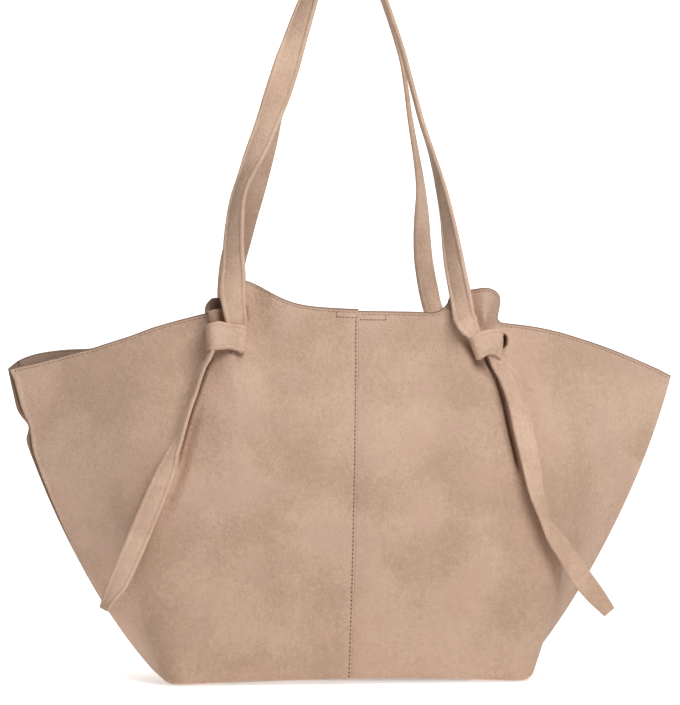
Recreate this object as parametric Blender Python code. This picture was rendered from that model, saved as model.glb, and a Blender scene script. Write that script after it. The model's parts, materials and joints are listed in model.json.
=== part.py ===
"""A soft winged shopper bag, carried by two long straps whose ends are tied in knots round the rim.

Metres, +Z up. The front faces -Y and the bag stands on its base at Z = 0.
"""

import math

import bmesh
import bpy
from mathutils import Vector
from mathutils.bvhtree import BVHTree

# Body
base_length = 0.271
base_depth = 0.136
base_corner = 0.018
left_span = 0.2478
right_span = 0.2527
rim_height = 0.274
left_tip_below_rim = 0.044
right_tip_below_rim = 0.0495
mouth_depth = 0.106
left_bow = 0.0172
right_bow = 0.0147
low_bow = 0.0022
belly = 0.010
seam_lean = 0.0075
fit_gap = 0.0003

# Cloth
panel_thickness = 0.0018
facing_thickness = 0.0012
facing_height = 0.030
tape_thickness = 0.0010
tape_width = 0.014
side_tape_thickness = 0.0016
side_tape_width = 0.009
side_tape_height = 0.165
facing_reach = 0.215

# Magnetic snap
snap_radius = 0.007
snap_thickness = 0.0022
snap_depth_below_rim = 0.012

# Ears and pleats of cloth drawn up by the knots
ear_height_left = 0.021
ear_height_right = 0.023
ear_outer_reach_left = 0.014
ear_inner_reach_left = 0.029
ear_outer_reach_right = 0.015
ear_inner_reach_right = 0.027
ear_inner_reach_right_back = 0.0095
ear_centre_left = -0.081
ear_centre_right = 0.101
pleat_depth = 0.0045
pleat_width = 0.018

# Knots
knot_height = 0.0200
knot_width = 0.0310
knot_bulge = 0.0040
knot_ledge = 0.0055
knot_centre_left = -0.0905
knot_centre_right = 0.1025
back_knot_shift = 0.006

# Straps
strap_width = 0.0195
strap_thickness = 0.0030
strap_foot_width = 0.0140
strap_axis_below_rim = 0.0105
strap_rise = 0.290
strap_apex_offset = 0.002
strap_apex_depth = 0.0125
strap_foot_left = -0.0835
strap_foot_right = 0.0905
strap_swing_gap = 0.0009

# Tails, the free ends of the straps below the knots
tail_width = 0.0145
tail_thickness = 0.0028
left_tail_top_depth = 0.0080
right_tail_top_width = 0.0130
tail_top_left = -0.1002
tail_top_right = 0.1052
tail_drop_left = 0.181
tail_drop_right = 0.189
tail_splay_left = 0.0795
tail_splay_right = 0.0865
back_tail_splay = 0.030
tail_lean = 0.004
tail_gap = 0.0010

# Fineness of the meshes
panel_columns = 13
panel_rows = 10
pleat_columns = 8
strap_sections = 40
tail_sections = 16
knot_sections = 8
tip_crowding_share = 1.4
slope_step_share = 0.002
knot_end_share = 0.12

# Rim height between a wing tip (0) and the centre seam (1), by place along the half rim
front_left_rim_shares = (
    (0.0, 1.0), (0.23, 1.04), (0.42, 0.96), (0.58, 0.72), (0.66, 0.55), (0.72, 0.412), (0.84, 0.20),
    (0.92, 0.07), (1.0, 0.0),
)
front_right_rim_shares = (
    (0.0, 1.0), (0.24, 0.95), (0.40, 0.84), (0.50, 0.775), (0.565, 0.72), (0.64, 0.635), (0.79, 0.41),
    (0.95, 0.115), (1.0, 0.0),
)
back_left_rim_shares = (
    (0.0, 0.97), (0.23, 1.0), (0.42, 0.92), (0.58, 0.64), (0.67, 0.44), (0.75, 0.335), (0.84, 0.302),
    (0.92, 0.237), (0.97, 0.13), (1.0, 0.0),
)
back_right_rim_shares = (
    (0.0, 0.97), (0.24, 0.91), (0.40, 0.80), (0.565, 0.69), (0.64, 0.60), (0.79, 0.38), (0.95, 0.105),
    (1.0, 0.0),
)

# Strap legs: height over the knots, then the place between apex (0) and foot (1)
front_left_leg_shares = (
    (0.0, 1.0), (0.05, 1.02), (0.10, 1.037), (0.20, 1.025), (0.29, 0.99), (0.335, 0.955), (0.385, 0.885),
    (0.48, 0.748), (0.58, 0.621), (0.70, 0.483), (0.83, 0.33), (0.93, 0.20), (0.98, 0.105), (1.0, 0.0),
)
front_right_leg_shares = (
    (0.0, 1.0), (0.02, 0.955), (0.06, 0.912), (0.15, 0.857), (0.27, 0.806), (0.335, 0.769), (0.395, 0.724),
    (0.46, 0.668), (0.52, 0.61), (0.645, 0.51), (0.705, 0.462), (0.83, 0.33), (0.93, 0.20), (0.98, 0.105),
    (1.0, 0.0),
)
back_left_leg_shares = (
    (0.0, 1.0), (0.08, 1.0), (0.16, 0.978), (0.22, 0.926), (0.285, 0.856), (0.35, 0.781), (0.47, 0.668),
    (0.60, 0.562), (0.72, 0.449), (0.845, 0.295), (0.93, 0.18), (0.98, 0.095), (1.0, 0.0),
)
back_right_leg_shares = (
    (0.0, 1.0), (0.03, 0.96), (0.065, 0.921), (0.16, 0.85), (0.225, 0.826), (0.35, 0.803), (0.415, 0.77),
    (0.54, 0.685), (0.66, 0.614), (0.725, 0.555), (0.845, 0.406), (0.93, 0.27), (0.98, 0.14), (1.0, 0.0),
)

# Turn of a strap about its own length, as a share of a quarter turn, by height over the knots
front_left_twist_shares = (
    (0.0, 0.0), (0.09, 0.04), (0.14, 0.34), (0.235, 0.58), (0.335, 0.72), (0.385, 0.66), (0.43, 0.51),
    (0.53, 0.32), (0.60, 0.08), (0.65, 0.08), (0.705, 0.29), (0.83, 0.58), (1.0, 1.0),
)
front_right_twist_shares = (
    (0.0, 0.0), (0.06, 0.44), (0.15, 0.56), (0.21, 0.67), (0.27, 0.79), (0.335, 0.87), (0.395, 0.97),
    (0.46, 1.04), (0.83, 1.05), (1.0, 1.0),
)
back_left_twist_shares = (
    (0.0, 0.0), (0.22, 0.05), (0.285, 0.24), (0.35, 0.35), (0.47, 0.43), (0.60, 0.60), (0.845, 0.64),
    (1.0, 1.0),
)
back_right_twist_shares = (
    (0.0, 0.0), (0.065, 0.52), (0.16, 0.55), (0.225, 0.63), (0.285, 0.73), (0.35, 0.83), (0.415, 0.89),
    (0.54, 0.92), (0.845, 0.96), (1.0, 1.0),
)
foot_flare_shares = ((0.0, 0.0), (0.02, 0.0), (0.09, 1.0), (1.0, 1.0))

# Tails: drop below the knot, then sideways splay; and the turn, a share of a quarter turn
left_tail_shares = ((0.0, 0.0), (0.09, 0.045), (0.27, 0.25), (0.62, 0.60), (0.91, 0.92), (1.0, 1.0))
right_tail_shares = (
    (0.0, 0.0), (0.08, 0.03), (0.28, 0.22), (0.40, 0.29), (0.535, 0.36), (0.655, 0.46), (0.865, 0.76),
    (1.0, 1.0),
)
left_tail_twist_shares = ((0.0, 1.0), (0.30, 0.95), (0.50, 0.10), (1.0, 0.0))
right_tail_twist_shares = ((0.0, 0.0), (0.45, 0.08), (0.62, 0.40), (0.75, 0.0), (1.0, 0.0))
left_tail_flare_shares = ((0.0, 0.0), (0.28, 0.0), (0.50, 1.0), (1.0, 1.0))
right_tail_flare_shares = ((0.0, 0.0), (0.12, 1.0), (1.0, 1.0))
tail_stand_shares = ((0.0, 0.0), (0.06, 0.0), (0.20, 0.40), (0.45, 0.85), (0.70, 0.97), (1.0, 1.0))

suede = (0.52, 0.33, 0.22, 1.0)
suede_inside = (0.33, 0.20, 0.13, 1.0)
suede_edge = (0.56, 0.37, 0.26, 1.0)
steel = (0.55, 0.53, 0.50, 1.0)

FRONT, BACK = -1, 1
LEFT, RIGHT = -1, 1


def mix(a, b, share):
    return a + (b - a) * share


def along(table, place):
    """Smooth value of a table of (place, value) pairs, by cubic spans with slopes from their neighbours."""
    last = len(table) - 1
    place = min(max(place, table[0][0]), table[last][0])
    i = 0
    while i < last - 1 and place > table[i + 1][0]:
        i += 1

    def slope(k):
        k0, k1 = max(k - 1, 0), min(k + 1, last)
        return (table[k1][1] - table[k0][1]) / (table[k1][0] - table[k0][0])

    (x0, y0), (x1, y1) = table[i], table[i + 1]
    span = x1 - x0
    t = (place - x0) / span
    rise = (2 * t - 3) * t * t
    return (
        y0 * (1 + rise)
        - y1 * rise
        + slope(i) * span * (t * (1 - t) ** 2)
        - slope(i + 1) * span * (t * t * (1 - t))
    )


def clear_scene():
    for item in list(bpy.data.objects):
        bpy.data.objects.remove(item, do_unlink=True)


def material(name, colour, roughness, metallic):
    made = bpy.data.materials.new(name)
    made.use_nodes = True
    shader = made.node_tree.nodes["Principled BSDF"]
    shader.inputs["Base Color"].default_value = colour
    shader.inputs["Roughness"].default_value = roughness
    shader.inputs["Metallic"].default_value = metallic
    return made


def add_object(name, shape, finish, origin=(0, 0, 0)):
    """Close a bmesh into a named object whose origin is at the given place."""
    bmesh.ops.recalc_face_normals(shape, faces=shape.faces)
    bmesh.ops.translate(shape, verts=shape.verts, vec=-Vector(origin))
    mesh = bpy.data.meshes.new(name)
    shape.to_mesh(mesh)
    shape.free()
    mesh.materials.append(finish)
    made = bpy.data.objects.new(name, mesh)
    made.location = origin
    bpy.context.scene.collection.objects.link(made)
    return made


def loft(rings):
    """A closed body: the first ring is a face, extruded from ring to ring."""
    shape = bmesh.new()
    corner = shape.verts.layers.int.new("corner")
    verts = [shape.verts.new(point) for point in rings[0]]
    for number, vert in enumerate(verts):
        vert[corner] = number
    face = shape.faces.new(verts)
    for number, ring in enumerate(rings[1:]):
        made = bmesh.ops.extrude_face_region(shape, geom=[face])["geom"]
        if number:
            shape.faces.remove(face)
        face = next(item for item in made if isinstance(item, bmesh.types.BMFace))
        for vert in face.verts:
            vert.co = ring[vert[corner]]
    return shape


def shell(columns, rows, outer, inner):
    """A sheet with thickness: a grid laid on the outer surface, extruded to the inner one."""
    shape = bmesh.new()
    bmesh.ops.create_grid(shape, x_segments=len(columns) - 1, y_segments=len(rows) - 1, size=1)
    place = shape.verts.layers.int.new("place")
    ordered = sorted(shape.verts, key=lambda vert: (round(vert.co.y, 4), round(vert.co.x, 4)))
    for number, vert in enumerate(ordered):
        vert[place] = number
    made = bmesh.ops.extrude_face_region(shape, geom=shape.faces[:])["geom"]
    inside = {item for item in made if isinstance(item, bmesh.types.BMVert)}
    for vert in shape.verts:
        row, column = divmod(vert[place], len(columns))
        surface = inner if vert in inside else outer
        vert.co = surface(columns[column], rows[row])
    return shape


def base_point(u):
    """Outer edge of half the base, from the middle of the front (u = 0) to the middle of a side."""
    front_run = base_length / 2 - base_corner
    corner_run = base_corner * math.pi / 2
    side_run = base_depth / 2 - base_corner
    run = abs(u) * (front_run + corner_run + side_run)
    if run < front_run:
        return math.copysign(run, u), base_depth / 2
    if run < front_run + corner_run:
        angle = (run - front_run) / base_corner
        x = front_run + base_corner * math.sin(angle)
        return math.copysign(x, u), base_depth / 2 - base_corner * (1 - math.cos(angle))
    return math.copysign(base_length / 2, u), front_run + corner_run + side_run - run


def ear(face, x):
    """Rise of the rim where a knot draws the cloth up; the right one at the back is narrow."""
    off_left = x - ear_centre_left
    reach = ear_outer_reach_left if off_left < 0 else ear_inner_reach_left
    rise = ear_height_left * math.exp(-((off_left / reach) ** 2))
    off_right = x - ear_centre_right
    inner_reach = ear_inner_reach_right if face == FRONT else ear_inner_reach_right_back
    reach = ear_outer_reach_right if off_right > 0 else inner_reach
    return rise + ear_height_right * math.exp(-((off_right / reach) ** 4))


def rim_point(face, u):
    """The top edge of the front or back wall; y is the distance from the middle plane."""
    span = left_span if u < 0 else right_span
    tip_height = rim_height - (left_tip_below_rim if u < 0 else right_tip_below_rim)
    tables = {
        (FRONT, True): front_left_rim_shares,
        (FRONT, False): front_right_rim_shares,
        (BACK, True): back_left_rim_shares,
        (BACK, False): back_right_rim_shares,
    }
    share = along(tables[face, u < 0], abs(u))
    x = u * span + seam_lean * (1 - u * u)
    ear_place = x if face == FRONT else x + math.copysign(back_knot_shift, x)
    z = mix(tip_height, rim_height, share) + ear(face, ear_place)
    return x, mouth_depth / 2 * (1 - u * u), z


def knot_place(face, side):
    """Centre of a knot along X; the back knots sit a little further in."""
    centre = knot_centre_left if side == LEFT else knot_centre_right
    return centre - side * back_knot_shift if face == BACK else centre


def pleat(face, u, v):
    """A ridge with a valley on each side below each knot, fading and widening towards the base."""
    x = rim_point(face, u)[0]
    spread = pleat_width * (1 + 1.2 * (1 - v))
    rise = 0
    for side in (LEFT, RIGHT):
        off = (x - knot_place(face, side)) / spread
        rise += (1 - 2 * off * off) * math.exp(-off * off)
    return pleat_depth * rise * v * v


def wall_point(face, u, v):
    """Outer surface of the front or back wall: u runs from wing to wing, v from base to rim."""
    base_x, base_y = base_point(u)
    rim_x, rim_y, rim_z = rim_point(face, u)
    swell = 4 * v * (1 - v)
    bow = (left_bow if u < 0 else right_bow) * swell + low_bow * 6 * v * (1.2 * (1 - v)) ** 5
    x = mix(base_x, rim_x, v) + bow * u * abs(u)
    y = mix(base_y, rim_y, v) + belly * swell * (1 - u * u) + pleat(face, u, v)
    edge = fit_gap / 2 + panel_thickness * (1 - (1 - v) ** 2)
    return Vector((x, face * max(y, edge), v * rim_z))


def inward(face, u, v):
    """Unit direction from the outer surface into the bag."""
    u0, u1 = max(u - slope_step_share, -1), min(u + slope_step_share, 1)
    v0, v1 = max(v - slope_step_share, 0), min(v + slope_step_share, 1)
    across = wall_point(face, u1, v) - wall_point(face, u0, v)
    upward = wall_point(face, u, v1) - wall_point(face, u, v0)
    normal = across.cross(upward) * -face
    if v == 0:
        normal.z = 0
    return -normal.normalized()


def inside_wall(face, u, v, depth):
    """A point at a depth below the outer surface, kept on its own side of the middle plane."""
    point = wall_point(face, u, v) + inward(face, u, v) * depth
    if v == 0:
        point.z = 0
    point.y = face * max(face * point.y, fit_gap / 2)
    return point


def wall_columns(face, side):
    """Grid lines of half a wall, from left to right, close together at the knot."""
    span = left_span if side == LEFT else right_span
    seam = fit_gap / 2 / span
    knot = abs(knot_place(face, side)) / span
    reach = 2.2 * pleat_width / span
    close = [knot + reach * (2 * i / pleat_columns - 1) for i in range(pleat_columns + 1)]
    places = [1 - (1 - i / panel_columns) ** tip_crowding_share for i in range(panel_columns + 1)]
    wide = [mix(seam, 1, place) for place in places]
    spare = reach / pleat_columns
    kept = [u for u in wide if u < close[0] - spare or u > close[-1] + spare]
    return sorted(side * u for u in close + kept)


def wall_rows():
    """Grid lines from base to rim, with lines at the facing's lower edge and middle."""
    facing = 1 - facing_height / rim_height
    return [facing * i / panel_rows for i in range(panel_rows)] + [facing, (1 + facing) / 2, 1]


def make_panel(face, side, name, finish):
    def outer(u, v):
        return wall_point(face, u, v)

    def inner(u, v):
        return inside_wall(face, u, v, panel_thickness)

    shape = shell(wall_columns(face, side), wall_rows(), outer, inner)
    skin = BVHTree.FromBMesh(shape)
    add_object(name, shape, finish)
    return skin


def make_base(finish):
    depth = panel_thickness + fit_gap
    outline = []
    for face in (FRONT, BACK):
        columns = wall_columns(face, LEFT)[1:] + wall_columns(face, RIGHT)[1:]
        outline += [inside_wall(face, u, 0, depth) for u in columns[::-face]]
    low = [Vector((point.x, point.y, 0)) for point in outline]
    high = [Vector((point.x, point.y, panel_thickness)) for point in outline]
    add_object("base_panel", loft([low, high]), finish)


def make_facing(face, name, finish):
    """The turned hem and facing that doubles the rim from wing to wing."""
    near = panel_thickness + fit_gap
    far = near + facing_thickness
    columns = [u for u in wall_columns(face, LEFT) if -u * left_span < facing_reach]
    columns += [u for u in wall_columns(face, RIGHT) if u * right_span < facing_reach]
    rows = wall_rows()[-3:]

    def outer(u, v):
        return inside_wall(face, u, v, near)

    def inner(u, v):
        return inside_wall(face, u, v, far)

    add_object(name, shell(columns, rows, outer, inner), finish)


def make_seam_tape(face, name, finish):
    """The seam allowance that joins the two halves of a wall inside the bag."""
    near = panel_thickness + 2 * fit_gap
    far = near + tape_thickness
    columns = [-tape_width / 2 / left_span, 0, tape_width / 2 / right_span]
    foot = near / rim_height
    head = wall_rows()[-3] - fit_gap / rim_height
    rows = [mix(foot, head, i / panel_rows) for i in range(panel_rows + 1)]

    def outer(u, v):
        return inside_wall(face, u, v, near)

    def inner(u, v):
        return inside_wall(face, u, v, far)

    add_object(name, shell(columns, rows, outer, inner), finish)


def walls_apart(skins, side, z, half):
    """How far out along X the walls are still a given half distance from the middle plane."""
    best = base_length
    for y in (-half, half):
        for skin in skins:
            hit = skin.ray_cast(Vector((side * base_length / 4, y, z)), Vector((side, 0, 0)))[0]
            if hit is not None:
                best = min(best, abs(hit.x))
    return best


def make_side_tape(side, skins, name, finish):
    """The bound seam allowance that stands inward along a side seam."""
    half = side_tape_thickness / 2
    rings = []
    for i in range(panel_rows + 1):
        z = mix(2 * panel_thickness, side_tape_height, i / panel_rows)
        start = walls_apart(skins, side, z, half + fit_gap) - fit_gap
        end = start - side_tape_width
        rings.append([
            Vector((side * start, -half, z)),
            Vector((side * start, half, z)),
            Vector((side * end, half, z)),
            Vector((side * end, -half, z)),
        ])
    add_object(name, loft(rings), finish)


def make_snap(face, name, finish):
    """One half of the magnetic snap, a disc on the inner side of the facing."""
    v = 1 - snap_depth_below_rim / rim_height
    seat = inside_wall(face, 0, v, panel_thickness + facing_thickness + 3 * fit_gap)
    inner = inward(face, 0, v)
    shape = bmesh.new()
    bmesh.ops.create_cone(
        shape, cap_ends=True, segments=24, radius1=snap_radius, radius2=snap_radius, depth=snap_thickness
    )
    turn = Vector((0, 0, 1)).rotation_difference(inner).to_matrix()
    bmesh.ops.rotate(shape, verts=shape.verts, cent=(0, 0, 0), matrix=turn)
    bmesh.ops.translate(shape, verts=shape.verts, vec=seat + inner * snap_thickness / 2)
    add_object(name, shape, finish)


def reach_of(skins, face, x, z):
    """How far the wall stands out near a place, over a patch as wide as a strap is thick."""
    best = 0
    half = strap_thickness / 2
    for step_x in (-1, 0, 1):
        for step_z in (-1, 0, 1):
            start = Vector((x + step_x * half, face * base_length, z + step_z * half))
            for skin in skins:
                hit = skin.ray_cast(start, Vector((0, -face, 0)))[0]
                if hit is not None:
                    best = max(best, face * hit.y)
    return best


def strap_axis_height():
    return rim_height - strap_axis_below_rim


def knot_top():
    return strap_axis_height() - strap_thickness / 2 - fit_gap / 2


def knot_bottom():
    return knot_top() - knot_height


def strap_axis_depth(skins, face):
    """Distance of a strap's swing axis from the middle plane: both feet clear the cloth and its ear."""
    best = 0
    for side, foot in ((LEFT, foot_place(face, LEFT)), (RIGHT, foot_place(face, RIGHT))):
        for i in range(6):
            z = knot_bottom() + i * knot_height / 2
            for across in (-1, 0, 1):
                best = max(best, reach_of(skins, face, foot + across * strap_foot_width / 2, z))
    return best + knot_ledge


def foot_place(face, side):
    foot = strap_foot_left if side == LEFT else strap_foot_right
    return foot - side * back_knot_shift if face == BACK else foot


def make_knot(face, side, skins, axis_depth, name, finish):
    """A strap's band drawn round the pleat: flat above and below, swelling forward, seated on the cloth."""
    centre = knot_place(face, side)
    top, bottom = knot_top(), knot_bottom()
    ledge = axis_depth - strap_swing_gap
    rings = []
    for i in range(knot_sections + 1):
        place = 2 * i / knot_sections - 1
        x = centre + place * knot_width / 2
        round_off = max(1 - place ** 6, knot_end_share) ** 0.5
        ring = []
        for k in range(knot_sections + 1):
            share = k / knot_sections
            z = mix(top, bottom, share)
            back = reach_of(skins, face, x, z) + fit_gap
            out = ledge + knot_bulge * math.sin(math.pi * share)
            ring.append(Vector((x, face * mix(back, out, round_off), z)))
        for k in range(knot_sections // 2 + 1):
            z = mix(bottom, top, 2 * k / knot_sections)
            ring.append(Vector((x, face * (reach_of(skins, face, x, z) + fit_gap), z)))
        rings.append(ring)
    add_object(name, loft(rings), finish)


def ribbon_ring(place, ahead, width, thickness, turn):
    """Four corners of a strap's section, square to its run; turn 0 shows its face, 1 its edge."""
    run = ahead.normalized()
    deep = Vector((0, 1, 0))
    deep = (deep - run * deep.dot(run)).normalized()
    across = deep.cross(run)
    angle = turn * math.pi / 2
    wide = across * math.cos(angle) + deep * math.sin(angle)
    thick = deep * math.cos(angle) - across * math.sin(angle)
    half_wide, half_thick = wide * width / 2, thick * thickness / 2
    return [
        place - half_wide - half_thick,
        place + half_wide - half_thick,
        place + half_wide + half_thick,
        place - half_wide + half_thick,
    ]


def round_end(axis, face, half_width, radius, direction):
    """Rings that round off a strap's end about an axis along X, from the tip to the axis."""
    rings = []
    for degrees in (80, 55, 25):
        angle = math.radians(degrees)
        z = axis.z + direction * radius * math.sin(angle)
        half = radius * math.cos(angle)
        rings.append([
            Vector((axis.x - half_width, axis.y - half, z)),
            Vector((axis.x + half_width, axis.y - half, z)),
            Vector((axis.x + half_width, axis.y + half, z)),
            Vector((axis.x - half_width, axis.y + half, z)),
        ])
    return rings


def make_strap(face, axis_depth, name, finish):
    """One carrying strap, from knot to knot over the hand."""
    tables = {
        (FRONT, LEFT): (front_left_leg_shares, front_left_twist_shares),
        (FRONT, RIGHT): (front_right_leg_shares, front_right_twist_shares),
        (BACK, LEFT): (back_left_leg_shares, back_left_twist_shares),
        (BACK, RIGHT): (back_right_leg_shares, back_right_twist_shares),
    }
    straight = (knot_height / 2) / strap_rise

    def leg(side, share):
        route, twist = tables[face, side]
        x = mix(strap_apex_offset, foot_place(face, side), along(route, share))
        leaning = max(share - straight, 0) / (1 - straight)
        depth = mix(axis_depth, strap_apex_depth, leaning)
        place = Vector((x, face * depth, strap_axis_height() + strap_rise * share))
        width = mix(strap_foot_width, strap_width, along(foot_flare_shares, share))
        return place, width, along(twist, share)

    half = strap_sections // 2
    shares = [math.sin(math.pi / 2 * i / half) for i in range(1, half + 1)]
    stations = [leg(LEFT, share) for share in shares] + [leg(RIGHT, share) for share in shares[-2::-1]]
    left_axis, right_axis = leg(LEFT, 0)[0], leg(RIGHT, 0)[0]
    half_foot = strap_foot_width / 2
    rings = round_end(left_axis, face, half_foot, strap_thickness / 2, -1)
    rings.append(ribbon_ring(left_axis, Vector((0, 0, 1)), strap_foot_width, strap_thickness, 0))
    for i, (place, width, turn) in enumerate(stations):
        before = stations[i - 1][0] if i else left_axis
        after = stations[i + 1][0] if i + 1 < len(stations) else right_axis
        rings.append(ribbon_ring(place, after - before, width, strap_thickness, turn))
    rings.append(ribbon_ring(right_axis, Vector((0, 0, -1)), strap_foot_width, strap_thickness, 0))
    last = round_end(right_axis, face, half_foot, strap_thickness / 2, -1)[::-1]
    rings += [[ring[1], ring[0], ring[3], ring[2]] for ring in last]
    add_object(name, loft(rings), finish, (0, face * axis_depth, strap_axis_height()))


def make_tail(face, side, skins, name, finish):
    """A strap's free end, hanging from its knot clear of the wall."""
    route, twist, flare = {
        LEFT: (left_tail_shares, left_tail_twist_shares, left_tail_flare_shares),
        RIGHT: (right_tail_shares, right_tail_twist_shares, right_tail_flare_shares),
    }[side]
    drop = tail_drop_left if side == LEFT else tail_drop_right
    splay = tail_splay_left if side == LEFT else tail_splay_right
    top_x = tail_top_left if side == LEFT else tail_top_right
    if face == BACK:
        splay = back_tail_splay
        top_x -= side * back_knot_shift
    top_width = left_tail_top_depth if side == LEFT else right_tail_top_width
    radius = left_tail_top_depth / 2 if side == LEFT else tail_thickness / 2
    half_width = tail_thickness / 2 if side == LEFT else right_tail_top_width / 2
    top_z = knot_bottom() - fit_gap - radius
    shares = [i / tail_sections for i in range(tail_sections + 1)]

    def clear_depth(share, half_across, half_deep):
        x = top_x + side * splay * along(route, share)
        seen = [reach_of(skins, face, x + k * half_across / 2, top_z - drop * share) for k in range(-2, 3)]
        return max(seen) + half_deep + fit_gap

    def width_at(share):
        return mix(top_width, tail_width, along(flare, share))

    def needed(share):
        half_deep = mix(tail_thickness, width_at(share), along(twist, share)) / 2
        return clear_depth(share, width_at(share) / 2, half_deep) + tail_gap

    below_knot = knot_height / drop
    close = [needed(share) for share in shares if share <= below_knot]
    top_depth = max(clear_depth(0, half_width, radius), *close)
    lean = tail_lean
    for share in shares:
        if share > below_knot:
            lean = max(lean, (needed(share) - top_depth) / along(tail_stand_shares, share))

    def station(share):
        x = top_x + side * splay * along(route, share)
        depth = top_depth + lean * along(tail_stand_shares, share)
        return Vector((x, face * depth, top_z - drop * share)), width_at(share), along(twist, share)

    axis = station(0)[0]
    rings = round_end(axis, face, half_width, radius, 1)
    rings = [[ring[1], ring[0], ring[3], ring[2]] for ring in rings]
    if side == LEFT:
        rings = [[ring[1], ring[2], ring[3], ring[0]] for ring in rings]
    rings.append(ribbon_ring(axis, Vector((0, 0, -1)), top_width, tail_thickness, 1 if side == LEFT else 0))
    for i in range(1, tail_sections + 1):
        before = station((i - 1) / tail_sections)[0]
        after = station(min(i + 1, tail_sections) / tail_sections)[0]
        place, width, turn = station(i / tail_sections)
        rings.append(ribbon_ring(place, after - before, width, tail_thickness, turn))
    add_object(name, loft(rings), finish, axis)


def main():
    clear_scene()
    cloth = material("suede", suede, 0.9, 0.0)
    lining = material("suede_inside", suede_inside, 0.95, 0.0)
    strap_cloth = material("suede_strap", suede_edge, 0.88, 0.0)
    metal = material("snap_metal", steel, 0.35, 1.0)

    make_base(lining)
    walls = []
    for face, wall in ((FRONT, "front"), (BACK, "back")):
        skins = []
        for side, hand in ((LEFT, "left"), (RIGHT, "right")):
            skins.append(make_panel(face, side, f"{wall}_panel_{hand}", cloth))
        walls += skins
        make_facing(face, f"{wall}_facing", lining)
        make_seam_tape(face, f"{wall}_seam_tape", lining)
        make_snap(face, f"snap_{wall}", metal)
        axis_depth = strap_axis_depth(skins, face)
        for side, hand in ((LEFT, "left"), (RIGHT, "right")):
            make_knot(face, side, skins, axis_depth, f"knot_{wall}_{hand}", strap_cloth)
            make_tail(face, side, skins, f"tail_{wall}_{hand}", strap_cloth)
        make_strap(face, axis_depth, f"{wall}_strap", strap_cloth)
    for side, hand in ((LEFT, "left"), (RIGHT, "right")):
        make_side_tape(side, walls, f"side_seam_tape_{hand}", lining)


main()
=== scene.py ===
"""Dresses the knotted suede shopper: cloth walls, hems, stitching, knots, straps, tails, snap and studio."""

import json
import math

import bmesh
import bpy
from mathutils import Matrix, Vector, noise


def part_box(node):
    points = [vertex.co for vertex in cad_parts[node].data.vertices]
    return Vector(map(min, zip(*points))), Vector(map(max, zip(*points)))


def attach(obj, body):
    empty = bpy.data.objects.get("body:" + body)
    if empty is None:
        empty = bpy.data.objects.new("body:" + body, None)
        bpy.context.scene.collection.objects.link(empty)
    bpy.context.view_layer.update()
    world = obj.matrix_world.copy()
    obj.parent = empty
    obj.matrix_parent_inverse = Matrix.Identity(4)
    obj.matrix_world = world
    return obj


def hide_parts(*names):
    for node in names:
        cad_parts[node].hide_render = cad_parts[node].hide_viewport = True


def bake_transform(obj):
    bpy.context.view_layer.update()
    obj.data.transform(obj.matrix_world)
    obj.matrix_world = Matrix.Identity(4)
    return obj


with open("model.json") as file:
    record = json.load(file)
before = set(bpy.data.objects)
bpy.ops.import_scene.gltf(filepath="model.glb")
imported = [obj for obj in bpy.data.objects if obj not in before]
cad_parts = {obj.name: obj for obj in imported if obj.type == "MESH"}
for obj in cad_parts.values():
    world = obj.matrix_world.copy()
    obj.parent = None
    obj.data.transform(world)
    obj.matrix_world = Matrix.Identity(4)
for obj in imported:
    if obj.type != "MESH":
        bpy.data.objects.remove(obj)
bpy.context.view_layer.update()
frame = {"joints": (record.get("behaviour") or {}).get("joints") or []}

bl_info = {
    "name": "Knotted suede shopper",
    "version": (1, 0, 0),
    "blender": (4, 5, 0),
    "location": "3D View > Sidebar > Shopper",
    "description": "Makes the cloth, knots, straps and stitching of a winged suede shopper",
    "category": "Add Mesh",
}

FRONT, BACK = -1, 1
LEFT, RIGHT = -1, 1
WALLS = ((FRONT, "front"), (BACK, "back"))
HANDS = ((LEFT, "left"), (RIGHT, "right"))
KNOTS = tuple((face, side, f"{wall}_{hand}") for face, wall in WALLS for side, hand in HANDS)
SWING = {joint["name"]: joint for joint in frame["joints"]}

# Rim height between a wing tip (0) and the centre seam (1), by place from the seam to the tip
rim_shares = {
    (FRONT, LEFT): (
        (0.0, 1.0), (0.23, 1.04), (0.42, 0.96), (0.58, 0.72), (0.66, 0.55), (0.73, 0.416), (0.765, 0.348),
        (0.825, 0.258), (0.857, 0.20), (0.89, 0.153), (0.92, 0.107), (0.96, 0.057), (1.0, 0.0),
    ),
    (FRONT, RIGHT): (
        (0.0, 0.975), (0.24, 0.945), (0.40, 0.84), (0.50, 0.775), (0.565, 0.72), (0.64, 0.635), (0.79, 0.41),
        (0.95, 0.115), (1.0, 0.0),
    ),
    (BACK, LEFT): (
        (0.0, 0.97), (0.23, 1.0), (0.42, 0.92), (0.58, 0.64), (0.67, 0.445), (0.75, 0.35), (0.84, 0.32),
        (0.92, 0.25), (0.97, 0.14), (1.0, 0.0),
    ),
    (BACK, RIGHT): (
        (0.0, 0.97), (0.24, 0.91), (0.40, 0.80), (0.565, 0.69), (0.64, 0.60), (0.79, 0.38), (0.95, 0.105),
        (1.0, 0.0),
    ),
}

# Rise of the rim over a right knot, by distance from the middle of its ear
ear_shares = {
    FRONT: (
        (-0.040, 0.0), (-0.0326, 0.15), (-0.0266, 0.44), (-0.0196, 0.72), (-0.0091, 0.90), (0.0, 1.0),
        (0.0070, 0.93), (0.0110, 0.74), (0.0130, 0.42), (0.0150, 0.13), (0.0190, 0.0),
    ),
    BACK: (
        (-0.014, 0.0), (-0.010, 0.12), (-0.0070, 0.60), (-0.0040, 0.90), (0.0, 1.0), (0.0050, 0.85),
        (0.0085, 0.40), (0.0110, 0.10), (0.0150, 0.0),
    ),
}

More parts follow.
